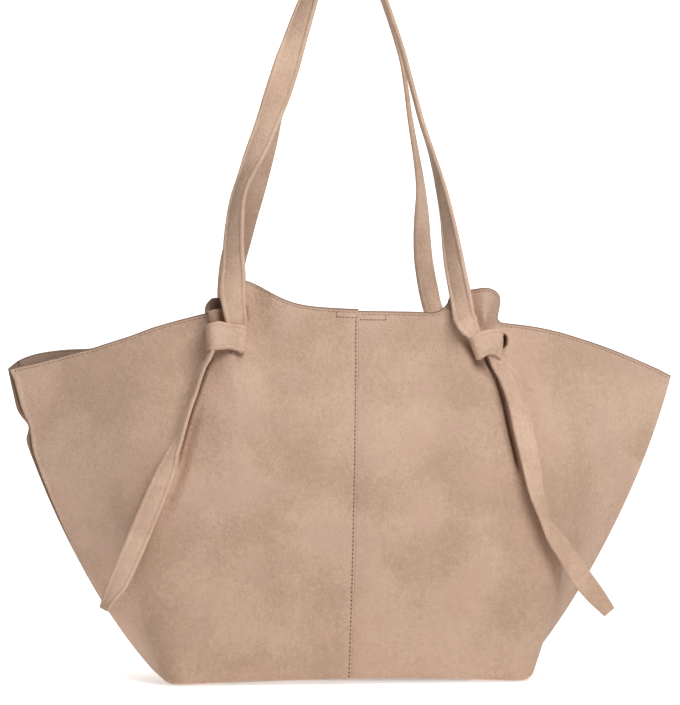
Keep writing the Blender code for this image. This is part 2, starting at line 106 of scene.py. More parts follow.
# How far the front wall's left edge is drawn in, from base (0) to rim (1)
edge_tuck_shares = (
    (0.0, 0.0), (0.38, 0.0), (0.50, 0.24), (0.70, 0.36), (0.74, 0.42), (0.785, 0.79), (0.816, 1.0),
    (0.848, 0.79), (0.877, 0.63), (0.916, 0.60), (0.965, 0.50), (1.0, 0.10),
)

# Valley beside a right knot: height, then distance from the knot's middle
valley_places = (
    (0.205, 0.0040), (0.216, 0.0003), (0.2292, -0.0033), (0.2347, -0.0048), (0.2426, -0.0078),
    (0.250, -0.0116), (0.262, -0.0170),
)

# Crease of the cloth along the right edge of a left strap: height, then place along X
strap_crease_places = (
    (0.255, -0.0790), (0.2605, -0.0775), (0.266, -0.0752), (0.273, -0.0758), (0.284, -0.0772),
    (0.296, -0.0785),
)

# Strap legs: height over the knots, then the place between apex (0) and foot (1)
leg_shares = {
    (FRONT, LEFT): (
        (0.0, 1.0), (0.033, 1.018), (0.083, 1.035), (0.133, 1.021), (0.20, 1.018), (0.29, 0.99),
        (0.335, 0.955), (0.385, 0.885), (0.48, 0.748), (0.58, 0.621), (0.70, 0.483), (0.83, 0.33),
        (0.93, 0.20), (0.98, 0.105), (1.0, 0.0),
    ),
    (FRONT, RIGHT): (
        (0.0, 0.955), (0.012, 0.930), (0.06, 0.906), (0.15, 0.857), (0.27, 0.806), (0.335, 0.769),
        (0.395, 0.724), (0.46, 0.668), (0.52, 0.61), (0.645, 0.51), (0.705, 0.462), (0.83, 0.33),
        (0.93, 0.20), (0.98, 0.105), (1.0, 0.0),
    ),
    (BACK, LEFT): (
        (0.0, 1.0), (0.08, 1.0), (0.16, 0.978), (0.22, 0.926), (0.285, 0.856), (0.35, 0.781), (0.47, 0.668),
        (0.60, 0.562), (0.72, 0.449), (0.845, 0.295), (0.93, 0.18), (0.98, 0.095), (1.0, 0.0),
    ),
    (BACK, RIGHT): (
        (0.0, 1.0), (0.03, 0.96), (0.065, 0.921), (0.16, 0.85), (0.225, 0.826), (0.35, 0.803), (0.415, 0.77),
        (0.54, 0.685), (0.66, 0.614), (0.725, 0.555), (0.845, 0.406), (0.93, 0.27), (0.98, 0.14), (1.0, 0.0),
    ),
}

# Turn of a strap about its own length, as a share of a quarter turn, by height over the knots
twist_shares = {
    (FRONT, LEFT): (
        (0.0, 0.0), (0.06, 0.0), (0.09, 0.10), (0.14, 0.40), (0.235, 0.58), (0.335, 0.72), (0.385, 0.66),
        (0.43, 0.51), (0.53, 0.32), (0.60, 0.08), (0.65, 0.08), (0.705, 0.29), (0.83, 0.58), (1.0, 1.0),
    ),
    (FRONT, RIGHT): (
        (0.0, 0.0), (0.06, 0.44), (0.15, 0.56), (0.21, 0.67), (0.27, 0.79), (0.335, 0.87), (0.395, 0.97),
        (0.46, 1.04), (0.83, 1.05), (1.0, 1.0),
    ),
    (BACK, LEFT): (
        (0.0, 0.0), (0.22, 0.05), (0.285, 0.24), (0.35, 0.35), (0.47, 0.43), (0.60, 0.60), (0.845, 0.64),
        (1.0, 1.0),
    ),
    (BACK, RIGHT): (
        (0.0, 0.0), (0.05, 0.31), (0.10, 0.37), (0.16, 0.415), (0.225, 0.475), (0.285, 0.565), (0.35, 0.71),
        (0.415, 0.79), (0.54, 0.86), (0.845, 0.94), (1.0, 1.0),
    ),
}

# Widening of a strap over its knots, from its foot's width (0) to its full width (1)
foot_flare_shares = ((0.0, 0.0), (0.02, 0.0), (0.09, 1.0), (1.0, 1.0))

# Free ends: sideways splay, by the share of their drop below the knot, as in the four tables after it
tail_shares = {
    LEFT: (
        (0.0, 0.045), (0.03, 0.085), (0.078, 0.127), (0.138, 0.170), (0.187, 0.211), (0.231, 0.244),
        (0.295, 0.289), (0.339, 0.332), (0.372, 0.370), (0.416, 0.408), (0.62, 0.60), (0.80, 0.775),
        (0.90, 0.88), (0.97, 0.968), (1.0, 1.0),
    ),
    RIGHT: (
        (0.0, 0.025), (0.038, 0.065), (0.072, 0.118), (0.109, 0.160), (0.183, 0.214), (0.284, 0.262),
        (0.411, 0.325), (0.536, 0.380), (0.650, 0.459), (0.703, 0.522), (0.759, 0.612), (0.865, 0.76),
        (1.0, 1.0),
    ),
}

# Free ends: turn about their own length, as a share of a quarter turn
tail_twist_shares = {
    LEFT: ((0.0, 0.88), (0.29, 0.86), (0.37, 0.50), (0.46, 0.20), (0.88, 0.20), (0.96, 0.50), (1.0, 0.57)),
    RIGHT: ((0.0, 0.0), (0.40, 0.15), (0.55, 0.42), (0.65, 0.60), (0.75, 0.20), (1.0, 0.0)),
}

# Free ends: widening from the width under the knot (0) to the full width (1)
tail_flare_shares = {
    LEFT: ((0.0, 0.0), (0.28, 0.0), (0.50, 1.0), (1.0, 1.0)),
    RIGHT: ((0.0, 0.0), (0.12, 1.0), (1.0, 1.0)),
}

# Free ends: a factor on the width, for the lower part and the narrow tip
tail_tip_shares = {
    LEFT: ((0.0, 1.0), (0.46, 1.05), (0.90, 1.05), (0.96, 0.86), (1.0, 0.73)),
    RIGHT: ((0.0, 1.0), (0.78, 1.04), (0.87, 1.09), (0.94, 0.98), (1.0, 0.70)),
}

# Free ends: how far they stand off the wall, as a share of their lean
tail_stand_shares = ((0.0, 0.0), (0.06, 0.0), (0.20, 0.40), (0.45, 0.85), (0.70, 0.97), (1.0, 1.0))

# A knot's band, from its left end (-1) to its right end (1): edges from its middle, in knot heights
band_top_shares = {
    LEFT: ((-1.0, 0.56), (-0.5, 0.65), (-0.1, 0.59), (0.4, 0.54), (0.8, 0.51), (1.0, 0.46)),
    RIGHT: ((-1.0, 0.06), (-0.6, 0.24), (0.0, 0.35), (0.5, 0.37), (0.85, 0.34), (1.0, 0.20)),
}
band_bottom_shares = {
    LEFT: ((-1.0, -0.42), (-0.4, -0.39), (0.0, -0.37), (0.5, -0.44), (0.8, -0.52), (1.0, -0.50)),
    RIGHT: ((-1.0, -0.77), (-0.6, -0.70), (0.0, -0.58), (0.5, -0.62), (0.85, -0.76), (1.0, -0.78)),
}

# A strap's face near its edge: distance from the rounded edge in thicknesses, then fullness
strap_edge_shares = ((0.0, 1.0), (0.22, 1.08), (0.42, 0.86), (0.60, 0.66), (0.82, 0.74), (1.3, 0.92))

# A strap's closed end: reach, narrowing and fullness of its last sections, in thicknesses
strap_end_shares = ((0.22, 0.15, 0.86), (0.36, 0.45, 0.5))


def length(name, description, default):
    return bpy.props.FloatProperty(
        name=name, description=description, default=default, min=0.0, precision=4,
        unit="LENGTH", subtype="DISTANCE",
    )


def colour(name, description, default):
    return bpy.props.FloatVectorProperty(
        name=name, description=description, default=default, size=3, min=0.0, max=1.0, subtype="COLOR"
    )


def amount(name, description, default):
    return bpy.props.FloatProperty(name=name, description=description, default=default, min=0.0)


class ShopperWallSizes(bpy.types.PropertyGroup):
    """Sizes of the cloth body."""

    base_length: length("Base length", "Length of the base", 0.271)
    base_depth: length("Base depth", "Depth of the base", 0.136)
    base_corner: length("Base corner", "Radius of the base's corners", 0.018)
    base_roll: length("Base roll", "Radius where the walls turn under", 0.006)
    base_arch: length("Base arch", "Rise of the bottom edge in the middle", 0.0030)
    left_span: length("Left span", "From the middle to the left wing tip", 0.2478)
    right_span: length("Right span", "From the middle to the right wing tip", 0.2527)
    rim_height: length("Rim height", "Height of the rim at the centre seam", 0.274)
    left_drop: length("Left tip drop", "Left wing tip below the rim", 0.044)
    right_drop: length("Right tip drop", "Right wing tip below the rim", 0.0495)
    mouth_depth: length("Mouth depth", "Width of the open mouth", 0.106)
    left_bow: length("Left bow", "Swell of the left side seam", 0.0172)
    right_bow: length("Right bow", "Swell of the right side seam", 0.0147)
    low_bow: length("Low bow", "Swell of the sides just over the base", 0.0022)
    belly: length("Belly", "Swell of the front and back", 0.010)
    seam_lean: length("Seam lean", "Sideways lean of the centre seams", 0.0075)
    cloth: length("Cloth thickness", "Thickness of the outer suede", 0.0018)
    gap: length("Fit gap", "Gap between touching pieces", 0.0003)
    lap: length("Seam lap", "Height of the lapped seam's step", 0.0010)
    facing: length("Facing thickness", "Thickness of the rim's facing", 0.0012)
    facing_height: length("Facing height", "Height of the rim's facing", 0.030)
    pleat_depth: length("Pleat depth", "Height of the pleats under the knots", 0.0045)
    pleat_width: length("Pleat width", "Half width of the pleats", 0.018)
    crease: length("Crease depth", "Depth of the creases beside the knots", 0.0035)
    ear_left: length("Left ear height", "Rise of the rim at the left knots", 0.021)
    ear_right: length("Right ear height", "Rise of the rim at the right knots", 0.023)
    ear_middle: length("Right ear place", "Middle of the right ears", 0.1026)
    valley: length("Valley depth", "Depth of the cloth beside the tails", 0.0060)
    crevice: length("Crevice depth", "Depth of the dark fold along a tail", 0.0085)
    lift: length("Lift", "Swell of the cloth under a left knot", 0.0050)
    edge_tuck: length("Edge tuck", "How far the front's left edge is drawn in", 0.0052)


class ShopperStrapSizes(bpy.types.PropertyGroup):
    """Sizes of the straps, knots and tails."""

    width: length("Strap width", "Width of the carrying straps", 0.0195)
    thickness: length("Strap thickness", "Thickness of the folded straps", 0.0030)
    foot_width: length("Foot width", "Width of a strap where it enters its knot", 0.0168)
    rise: length("Strap rise", "Height of the straps over the knots", 0.290)
    apex_offset: length("Apex offset", "Sideways place of the straps' top", 0.002)
    apex_depth: length("Apex depth", "Half the distance between the straps' tops", 0.0125)
    foot_left: length("Left foot", "Left foot from the middle", 0.0835)
    foot_right: length("Right foot", "Right foot from the middle", 0.0905)
    back_shift: length("Back shift", "How much further in the back knots sit", 0.006)
    knot_left: length("Left knot", "Left knot from the middle", 0.0905)
    knot_right: length("Right knot", "Right knot from the middle", 0.1025)
    knot_height: length("Knot height", "Height of a knot's band", 0.0200)
    band: length("Band thickness", "Thickness of a knot's band", 0.0026)
    tail_width: length("Tail width", "Width of the free ends", 0.0145)
    tail_thickness: length("Tail thickness", "Thickness of the free ends", 0.0028)
    tail_top_left: length("Left tail top", "Width of a left tail under its knot", 0.0080)
    tail_top_right: length("Right tail top", "Width of a right tail under its knot", 0.0105)
    drop_left: length("Left tail length", "Height that a left tail falls", 0.181)
    drop_right: length("Right tail length", "Height that a right tail falls", 0.189)
    splay_left: length("Left splay", "Sideways reach of the front left tail", 0.0795)
    splay_right: length("Right splay", "Sideways reach of the front right tail", 0.0865)
    splay_back: length("Back splay", "Sideways reach of the back tails", 0.030)
    lean_front: length("Front lean", "How far the front tails stand off", 0.0040)
    lean_back: length("Back lean", "How far the back tails stand off", 0.0070)


class ShopperStitchSizes(bpy.types.PropertyGroup):
    """Sizes of the stitching."""

    thread: length("Thread thickness", "Thickness of the sewing thread", 0.00085)
    rim_pitch: length("Rim pitch", "Stitch length along the rim", 0.0038)
    seam_pitch: length("Seam pitch", "Stitch length along the seams", 0.0031)
    rim_inset: length("Rim inset", "Stitches below the rim's edge", 0.0027)
    seam_inset: length("Seam inset", "Stitches beside the lapped edge", 0.0021)


class ShopperFinish(bpy.types.PropertyGroup):
    """Colours of the suede, thread and metal."""

    light: colour("Light suede", "Brushed nap where it is pale", (0.696, 0.498, 0.380))
    dark: colour("Dark suede", "Nap where it is rubbed the other way", (0.538, 0.370, 0.270))
    blush: colour("Blush", "Rosy patches", (0.635, 0.430, 0.335))
    inside: colour("Flesh side", "Inner face of the suede", (0.36, 0.235, 0.16))
    edge: colour("Cut edge", "Cut edges of the suede", (0.30, 0.20, 0.145))
    thread: colour("Thread", "Sewing thread", (0.45, 0.31, 0.23))
    metal: colour("Metal", "Snap metal", (0.62, 0.58, 0.52))
    sheen: amount("Sheen", "Soft light on the nap", 0.12)


class ShopperStudio(bpy.types.PropertyGroup):
    """Sizes of the stage and strengths of its lights."""

    distance: length("Camera distance", "From the camera to the bag's middle", 2.5)
    eye: length("Camera height", "Height of the level camera", 0.242)
    view_width: length("View width", "Width seen at the bag's middle", 0.51)
    turn: bpy.props.FloatProperty(
        name="Camera turn", description="Turn of the camera to the bag's left", default=math.radians(7),
        subtype="ANGLE", unit="ROTATION",
    )
    floor_reach: length("Floor reach", "From the bag to the backdrop all round", 9.0)
    floor_bend: length("Floor bend", "Radius of the bend from floor to backdrop", 1.2)
    floor_gap: length("Floor gap", "Gap between the floor and the bag", 0.0004)
    backdrop: length("Backdrop height", "Height of the backdrop", 5.0)
    key: amount("Key light", "Power of the main light in watts", 21.2)
    fill: amount("Fill light", "Power of the soft light from the left in watts", 0.6)
    top: amount("Top light", "Power of the light from above in watts", 2.0)
    world: amount("Surroundings", "Strength of the even light all round", 0.21)


def mix(a, b, share):
    return a + (b - a) * share


def bell(place):
    return math.exp(-place * place)


def smooth(share):
    share = min(max(share, 0), 1)
    return share * share * (3 - 2 * share)


def above(place, start, rise):
    """0 up to a place, then growing to 1 over a given length."""
    return smooth((place - start) / rise)


def between(place, start, rise, end, fall):
    """1 between two places, fading to 0 over a given length at each end."""
    return above(place, start, rise) * smooth((end - place) / fall)


def hollow(off, left, right):
    """Cross-section of a fold: 1 in the middle, with a width of its own on each side."""
    return bell(off / (left if off < 0 else right))


def ridge(off, height, reach):
    """Cross-section of a rounded ridge, or of a groove where it is taken away."""
    return height * bell(off / reach)


def rounded(value, power):
    """A sine or cosine pushed outward, so that a circle becomes a rounded box."""
    return math.copysign(abs(value) ** power, value)


def scaled(shade, factor):
    """A colour made lighter or darker."""
    return tuple(channel * factor for channel in shade)


def along(table, place):
    """Smooth value of a table of (place, value) pairs, by cubic spans with slopes from their neighbours."""
    last = len(table) - 1
    place = min(max(place, table[0][0]), table[last][0])
    i = 0
    while i < last - 1 and place > table[i + 1][0]:
        i += 1

    def slope(k):
        k0, k1 = max(k - 1, 0), min(k + 1, last)
        return (table[k1][1] - table[k0][1]) / (table[k1][0] - table[k0][0])

    (x0, y0), (x1, y1) = table[i], table[i + 1]
    span = x1 - x0
    t = (place - x0) / span
    rise = (2 * t - 3) * t * t
    return (
        y0 * (1 + rise)
        - y1 * rise
        + slope(i) * span * (t * (1 - t) ** 2)
        - slope(i + 1) * span * (t * t * (1 - t))
    )


def knot_x(straps, face, side):
    """Centre of a knot along X."""
    centre = straps.knot_left if side == LEFT else straps.knot_right
    return side * (centre - straps.back_shift) if face == BACK else side * centre


def tail_course(straps, face, side, z):
    """A tail's middle along X, half its visible width and its turn, at a height."""
    wall, hand = "front" if face == FRONT else "back", "left" if side == LEFT else "right"
    axis = SWING[f"{wall}_{hand}_tail_lift"]["pos_m"]
    drop, splay = straps.drop_right, straps.splay_right
    top = straps.tail_top_right
    if side == LEFT:
        drop, splay, top = straps.drop_left, straps.splay_left, straps.tail_top_left
    if face == BACK:
        splay = straps.splay_back
    share = min(max((axis[2] - z) / drop, 0), 1)
    turn = along(tail_twist_shares[side], share)
    width = mix(top, straps.tail_width, along(tail_flare_shares[side], share))
    seen = width * math.cos(turn * math.pi / 2) + straps.tail_thickness * math.sin(turn * math.pi / 2)
    return axis[0] + side * splay * along(tail_shares[side], share), seen / 2, turn


class Walls:
    """The bag's cloth surface: u runs from wing to wing and v from base to rim."""

    def __init__(self, scene):
        for name in ShopperWallSizes.__annotations__:
            setattr(self, name, getattr(scene.shopper_walls, name))
        self.straps = scene.shopper_straps
        self.rim_inset = scene.shopper_stitches.rim_inset
        self.seam_inset = scene.shopper_stitches.seam_inset
        self.knots = {
            face: [(side, knot_x(self.straps, face, side)) for side in (LEFT, RIGHT)]
            for face in (FRONT, BACK)
        }
        self.rims = {}

    def span(self, u):
        """Distance along X from the middle to the wing tip on one side."""
        return self.left_span if u < 0 else self.right_span

    def base_edge(self, u):
        """Point of the base's outline and its outward direction, on the side of positive Y."""
        front = self.base_length / 2 - self.base_corner
        corner = self.base_corner * math.pi / 2
        flank = self.base_depth / 2 - self.base_corner
        run = abs(u) * (front + corner + flank)
        if run < front:
            return math.copysign(run, u), self.base_depth / 2, 0.0, 1.0
        if run < front + corner:
            angle = (run - front) / self.base_corner
            out_x, out_y = math.sin(angle), math.cos(angle)
            x = front + self.base_corner * out_x
            return math.copysign(x, u), flank + self.base_corner * out_y, math.copysign(out_x, u), out_y
        y = front + corner + flank - run
        return math.copysign(self.base_length / 2, u), y, math.copysign(1.0, u), 0.0

    def ear(self, face, x):
        """Rise of the rim over the knots: a soft lift on the left, a steep fan on the right."""
        left_ear_middle = -0.081
        off = x - left_ear_middle
        reach, power = (0.0095, 3) if off < 0 else (0.029, 2)
        rise = self.ear_left * math.exp(-(abs(off / reach) ** power))
        return rise + self.ear_right * along(ear_shares[face], x - self.ear_middle)

    def rim(self, face, u):
        """The top edge; y is the distance from the middle plane."""
        key = (face, u)
        if key not in self.rims:
            side = LEFT if u < 0 else RIGHT
            drop = self.left_drop if u < 0 else self.right_drop
            x = u * self.span(u) + self.seam_lean * (1 - u * u)
            ear_x = x if face == FRONT else x + math.copysign(self.straps.back_shift, x)
            z = self.rim_height - drop * (1 - along(rim_shares[face, side], abs(u))) + self.ear(face, ear_x)
            self.rims[key] = x, self.mouth_depth / 2 * (1 - u * u), z
        return self.rims[key]

    def pleat(self, face, x, v):
        """A ridge with a valley on each side under each knot, fading and widening towards the base."""
        widening = 1.2
        crease_place, crease_reach = 1.15, 0.6
        spread = self.pleat_width * (1 + widening * (1 - v))
        rise = 0
        for _, knot in self.knots[face]:
            off = (x - knot) / spread
            rise += (1 - 2 * off * off) * ridge(off, self.pleat_depth, reach=1)
            rise -= ridge(off - crease_place, self.crease, crease_reach) * above(v, start=0.5, rise=0.5)
        return rise * v * v

    def left_fold(self, face, x, z):
        """The valleys, the swell and the crevice beside a left free end, and the crease along its strap."""
        under, beside, crevice = -0.0055, 0.0042, 0.0012
        swelling, swelling_z, swelling_tall = 0.0130, 0.238, 0.014
        middle, half, _ = tail_course(self.straps, face, LEFT, z)
        edge = x - middle - half
        valley = hollow(x - middle - under, left=0.022, right=0.0045)
        depth = self.valley * valley * between(z, start=0.165, rise=0.06, end=0.272, fall=0.02)
        valley = hollow(edge - beside, left=0.0050, right=0.0046)
        depth += self.valley * valley * between(z, start=0.105, rise=0.05, end=0.214, fall=0.03)
        depth -= ridge(edge - swelling, self.lift, reach=0.010) * bell((z - swelling_z) / swelling_tall)
        if face == FRONT:
            crease = ridge(x - along(strap_crease_places, z), self.crevice / 2, reach=0.0012)
            depth += crease * above(z, start=0.255, rise=0.006)
        fade = 1.25 * between(z, start=0.150, rise=0.022, end=0.252, fall=0.006)
        return depth + ridge(edge - crevice, self.crevice, reach=0.0013) * fade

    def right_fold(self, face, x, z, knot):
        """The valley beside a right knot, the ridge left of its strap and the crevice along its free end."""
        crevice = -0.0007
        swelling, swelling_z, swelling_tall = -0.0215, 0.262, 0.014
        middle, half, _ = tail_course(self.straps, face, RIGHT, z)
        valley = hollow(x - knot - along(valley_places, z), left=0.0058, right=0.0028)
        depth = self.valley * valley * between(z, start=0.212, rise=0.024, end=0.258, fall=0.014)
        swell = ridge(x - knot - swelling, height=0.0050, reach=0.008)
        depth -= swell * bell((z - swelling_z) / swelling_tall)
        fade = between(z, start=0.150, rise=0.016, end=0.250, fall=0.006)
        return depth + ridge(x - middle + half - crevice, self.crevice, reach=0.0013) * fade

    def fold(self, face, x, z):
        """Depth of the cloth's folds beside the knots and along the free ends."""
        reach, top = 0.11, 0.275
        depth = 0.0
        for side, knot in self.knots[face]:
            if abs(x - knot) <= reach and z <= top:
                depth += self.left_fold(face, x, z) if side == LEFT else self.right_fold(face, x, z, knot)
        return depth

    def gather(self, face, x, z):
        """Sideways pull and outward roll of the cloth drawn up by a knot."""
        reach, near_reach, waist_reach = 0.05, 0.021, 0.011
        across, out = 0.0, 0.0
        for side, knot in self.knots[face]:
            off = x - knot
            if abs(off) > reach:
                continue
            near = bell(off / near_reach)
            pull, waist = (0.42, 0.258) if side == LEFT else (0.62, 0.262)
            across -= off * pull * near * bell((z - waist) / waist_reach)
            if side == RIGHT:
                fan = 0.12 * (off + 0.004)
                across += fan * near * above(z, start=0.272, rise=0.014)
                out += ridge(off + 0.001, height=0.0042, reach=0.0075) * above(z, start=0.256, rise=0.010)
                out -= ridge(off + 0.0125, height=0.0012, reach=0.005) * above(z, start=0.262, rise=0.010)
            else:
                out += ridge(off, height=0.0015, reach=0.011) * above(z, start=0.258, rise=0.010)
        return across, out

    def sag(self, face, x, z, u, v):
        """Slow hollows of worn cloth, inward only, and none near the seams or the base."""
        broad_depth, small_depth = 0.0022, 0.0008
        broad = noise.noise(Vector((x * 11 + 3 * face, z * 9, 5.2 * face))) * 0.5 + 0.5
        small = noise.noise(Vector((x * 30 - 7 * face, z * 24, 1.7 * face))) * 0.5 + 0.5
        keep = between(v, start=0, rise=0.12, end=1, fall=0.10) * smooth((1 - abs(u)) / 0.12)
        return -(broad_depth * broad + small_depth * small) * keep

    def trim(self, x, z, rim_z):
        """Relief of the lapped centre seam, the stitched rim and their grooves."""
        lap_place, lap_reach, lap_fade = -0.0011, 0.0012, 0.009
        beside = x - self.seam_x(z)
        edge = rim_z - z
        relief = 0.0
        if beside <= 0:
            relief += ridge(beside - lap_place, height=0.30 * self.lap, reach=lap_reach)
            relief -= ridge(beside, height=0.0003, reach=0.00035)
            relief -= ridge(beside + self.seam_inset, height=0.00028, reach=0.0007)
        else:
            relief -= self.lap * (1 - smooth(beside / lap_fade))
        relief -= ridge(edge - self.rim_inset, height=0.00030, reach=0.0006)
        relief -= ridge(edge, height=0.00045, reach=0.0004)
        return relief

    def tuck(self, face, u, v):
        """How far the left edge moves along X and outward: drawn in at the front, rolled at the back."""
        roll_place, roll_tall = 0.815, 0.045
        hem = above(-u, start=0.86, rise=0.14)
        if face == FRONT:
            drawn = self.edge_tuck * along(edge_tuck_shares, v) * hem
            return drawn, 0.5 * drawn
        roll = above(-u, start=0.95, rise=0.05) * bell((v - roll_place) / roll_tall)
        flare = ridge(v - 0.80, height=0.0008, reach=0.09) * hem
        return self.edge_tuck * roll * roll - flare, -0.8 * self.edge_tuck * roll

    def seam_x(self, z):
        """Place of the leaning centre seam along X."""
        return self.seam_lean * z / self.rim_height

    def place(self, face, u, v, depth=0.0, plain=False):
        """A point of the outer surface, or at a depth below it."""
        if depth:
            return self.place(face, u, v) - self.normal(face, u, v) * depth
        base_x, base_y, out_x, out_y = self.base_edge(u)
        rim_x, rim_y, rim_z = self.rim(face, u)
        swell = 4 * v * (1 - v)
        low = self.low_bow * 6 * v * (1.2 * (1 - v)) ** 5
        bow = (self.left_bow if u < 0 else self.right_bow) * swell + low
        x = mix(base_x, rim_x, v) + bow * u * abs(u)
        y = mix(base_y, rim_y, v) + self.belly * swell * (1 - u * u) + self.pleat(face, rim_x, v)
        z = v * rim_z
        across, out = self.gather(face, rim_x, z)
        x += across
        y += out + self.sag(face, x, z, u, v)
        if not plain:
            y += self.trim(x, z, rim_z) - self.fold(face, x, z)
        y = max(y, self.gap / 2 + self.cloth * (1 - (1 - v) ** 2))
        if z < self.base_roll:
            under = self.base_roll * (1 - math.sqrt(max(1 - (1 - z / self.base_roll) ** 2, 0)))
            x -= out_x * under
            y = max(y - out_y * under, self.gap / 2)
        across, out = self.tuck(face, u, v)
        x += across
        y += out
        middle = max(1 - (2 * x / self.base_length) ** 2, 0)
        z += ridge(z, self.base_arch * middle, reach=0.022)
        return Vector((x, face * y, z))

    def normal(self, face, u, v):
        """Outward direction of the surface."""
        step, lowest = 0.003, 0.03
        u0, u1 = max(u - step, -1), min(u + step, 1)
        v0, v1 = max(v - step, lowest), min(max(v + step, lowest + 2 * step), 1)
        run = self.place(face, u1, v, plain=True) - self.place(face, u0, v, plain=True)
        climb = self.place(face, u, v1, plain=True) - self.place(face, u, v0, plain=True)
        return (run.cross(climb) * -face).normalized()

    def out_at(self, face, x, z):
        """Distance of the wall from the middle plane straight behind a place seen from outside."""
        u = 0.0
        for _ in range(12):
            v = min(z / self.rim(face, u)[2], 1)
            u += (x - self.place(face, u, v, plain=True).x) / self.span(u)
            u = min(max(u, -1), 1)
        return abs(self.place(face, u, min(z / self.rim(face, u)[2], 1), plain=True).y)


def finish_mesh(name, shape, material_names, smooth_angle):
    """Turns a bmesh into a named piece, smooth but for edges past an angle; 0 leaves no edge sharp."""
    mesh = bpy.data.meshes.new(name)
    shape.to_mesh(mesh)
    shape.free()
    for material_name in material_names:
        mesh.materials.append(bpy.data.materials[material_name])
    mesh.shade_smooth()
    if smooth_angle:
        mesh.set_sharp_from_angle(angle=math.radians(smooth_angle))
    piece = bpy.data.objects.new(name, mesh)
    bpy.context.scene.collection.objects.link(piece)
    return piece


def thicken(piece, thickness, rim_material, inner_material=1):
    """Gives a sheet its thickness, growing inward, with materials for its cut edge and its inner face."""
    made = piece.modifiers.new("thickness", "SOLIDIFY")
    made.thickness = thickness
    made.offset = -1.0
    made.material_offset = inner_material
    made.material_offset_rim = rim_material


def sheet_grid(columns, rows, surface, flip=False, edge_rows=0):
    """A grid of cloth laid on a surface, given by its column and row places; its top rows may be cut edge."""
    shape = bmesh.new()
    bmesh.ops.create_grid(shape, x_segments=len(columns) - 1, y_segments=len(rows) - 1, size=1)
    ordered = sorted(shape.verts, key=lambda vert: (round(vert.co.y, 5), round(vert.co.x, 5)))
    row_of = {}
    for number, vert in enumerate(ordered):
        row, column = divmod(number, len(columns))
        vert.co = surface(columns[column], rows[row])
        row_of[vert] = row
    for face in shape.faces:
        if min(row_of[vert] for vert in face.verts) >= len(rows) - 1 - edge_rows:
            face.material_index = 2
    if flip:
        bmesh.ops.reverse_faces(shape, faces=shape.faces)
    return shape


def loft(rings):
    """A closed body: the first ring is a face, extruded from ring to ring."""
    shape = bmesh.new()
    corner = shape.verts.layers.int.new("corner")
    verts = [shape.verts.new(point) for point in rings[0]]
    for number, vert in enumerate(verts):
        vert[corner] = number
    face = shape.faces.new(verts)
    for number, ring in enumerate(rings[1:]):
        made = bmesh.ops.extrude_face_region(shape, geom=[face])["geom"]
        if number:
            shape.faces.remove(face)
        face = next(item for item in made if isinstance(item, bmesh.types.BMFace))
        for vert in face.verts:
            vert.co = ring[vert[corner]]
    bmesh.ops.recalc_face_normals(shape, faces=shape.faces)
    return shape


def turned_profile(profile, steps, merge):
    """A round shape made by turning a profile of (radius, height) points about the Z axis."""
    shape = bmesh.new()
    chain = [shape.verts.new((radius, 0, height)) for radius, height in profile]
    edges = [shape.edges.new(pair) for pair in zip(chain, chain[1:])]
    bmesh.ops.spin(
        shape, geom=chain + edges, cent=(0, 0, 0), axis=(0, 0, 1), angle=2 * math.pi, steps=steps,
        use_merge=True,
    )
    bmesh.ops.remove_doubles(shape, verts=shape.verts, dist=merge)
    return shape


def strap_section(place, across, out, width, thickness):
    """The outline of a folded strap: full rounded edges and a groove inside each of them."""
    turn, middle_fullness, groove_share = 0.9, 0.9, 0.7
    thick = thickness / 2
    flat = width / 2 - thick
    reach = min(thickness, flat * groove_share)
    near = [(flat - inset * reach, fullness * thick) for inset, fullness in strap_edge_shares]
    face = [(-a, b) for a, b in near] + [(0.0, middle_fullness * thick)] + near[::-1]
    ring = face + [(flat + thick * math.cos(a), thick * math.sin(a)) for a in (turn, 0.0, -turn)]
    ring += [(a, -b) for a, b in reversed(face)]
    ring += [(-flat - thick * math.cos(a), thick * math.sin(a)) for a in (-turn, 0.0, turn)]
    return [place + across * a + out * b for a, b in ring]


def turned(run, turn):
    """Across and out directions of a strap that runs along a direction; turn 0 shows its face, 1 its edge."""
    run = run.normalized()
    deep = Vector((0, 1, 0))
    deep = (deep - run * deep.dot(run)).normalized()
    across = deep.cross(run)
    sine, cosine = math.sin(turn * math.pi / 2), math.cos(turn * math.pi / 2)
    return across * cosine + deep * sine, deep * cosine - across * sine


def strap_rings(stations):
    """Sections along a run of (place, width, thickness, turn), closed softly at both ends."""
    rings = []
    last = len(stations) - 1
    for i, (place, width, thickness, turn) in enumerate(stations):
        across, out = turned(stations[min(i + 1, last)][0] - stations[max(i - 1, 0)][0], turn)
        rings.append(strap_section(place, across, out, width, thickness))
        if i in (0, last):
            ahead = (place - stations[1 if i == 0 else -2][0]).normalized()
            ends = [
                strap_section(
                    place + ahead * thickness * reach, across, out, width - thickness * trim, thickness * full
                )
                for reach, trim, full in strap_end_shares
            ]
            rings = ends[::-1] + rings if i == 0 else rings + ends
    return rings


def put(tree, socket, value):
    """Links a shader's input to a Socket or sets it; a colour without its fourth channel is opaque."""
    if isinstance(value, Socket):
        tree.links.new(value.output, socket)
    elif socket.type == "RGBA" and len(value) == 3:
        socket.default_value = (*value, 1.0)
    else:
        socket.default_value = value


class Socket:
    """A shader value that takes part in Python sums."""

    def __init__(self, tree, output):
        self.tree, self.output = tree, output

    def maths(self, operation, first, second):
        """A sum of two values, each a Socket or a number."""
        made = self.tree.nodes.new("ShaderNodeMath")
        made.operation = operation
        put(self.tree, made.inputs[0], first)
        put(self.tree, made.inputs[1], second)
        return Socket(self.tree, made.outputs[0])

    def __add__(self, other):
        return self.maths("ADD", self, other)

    def __rsub__(self, other):
        return self.maths("SUBTRACT", other, self)

    def __mul__(self, other):
        return self.maths("MULTIPLY", self, other)


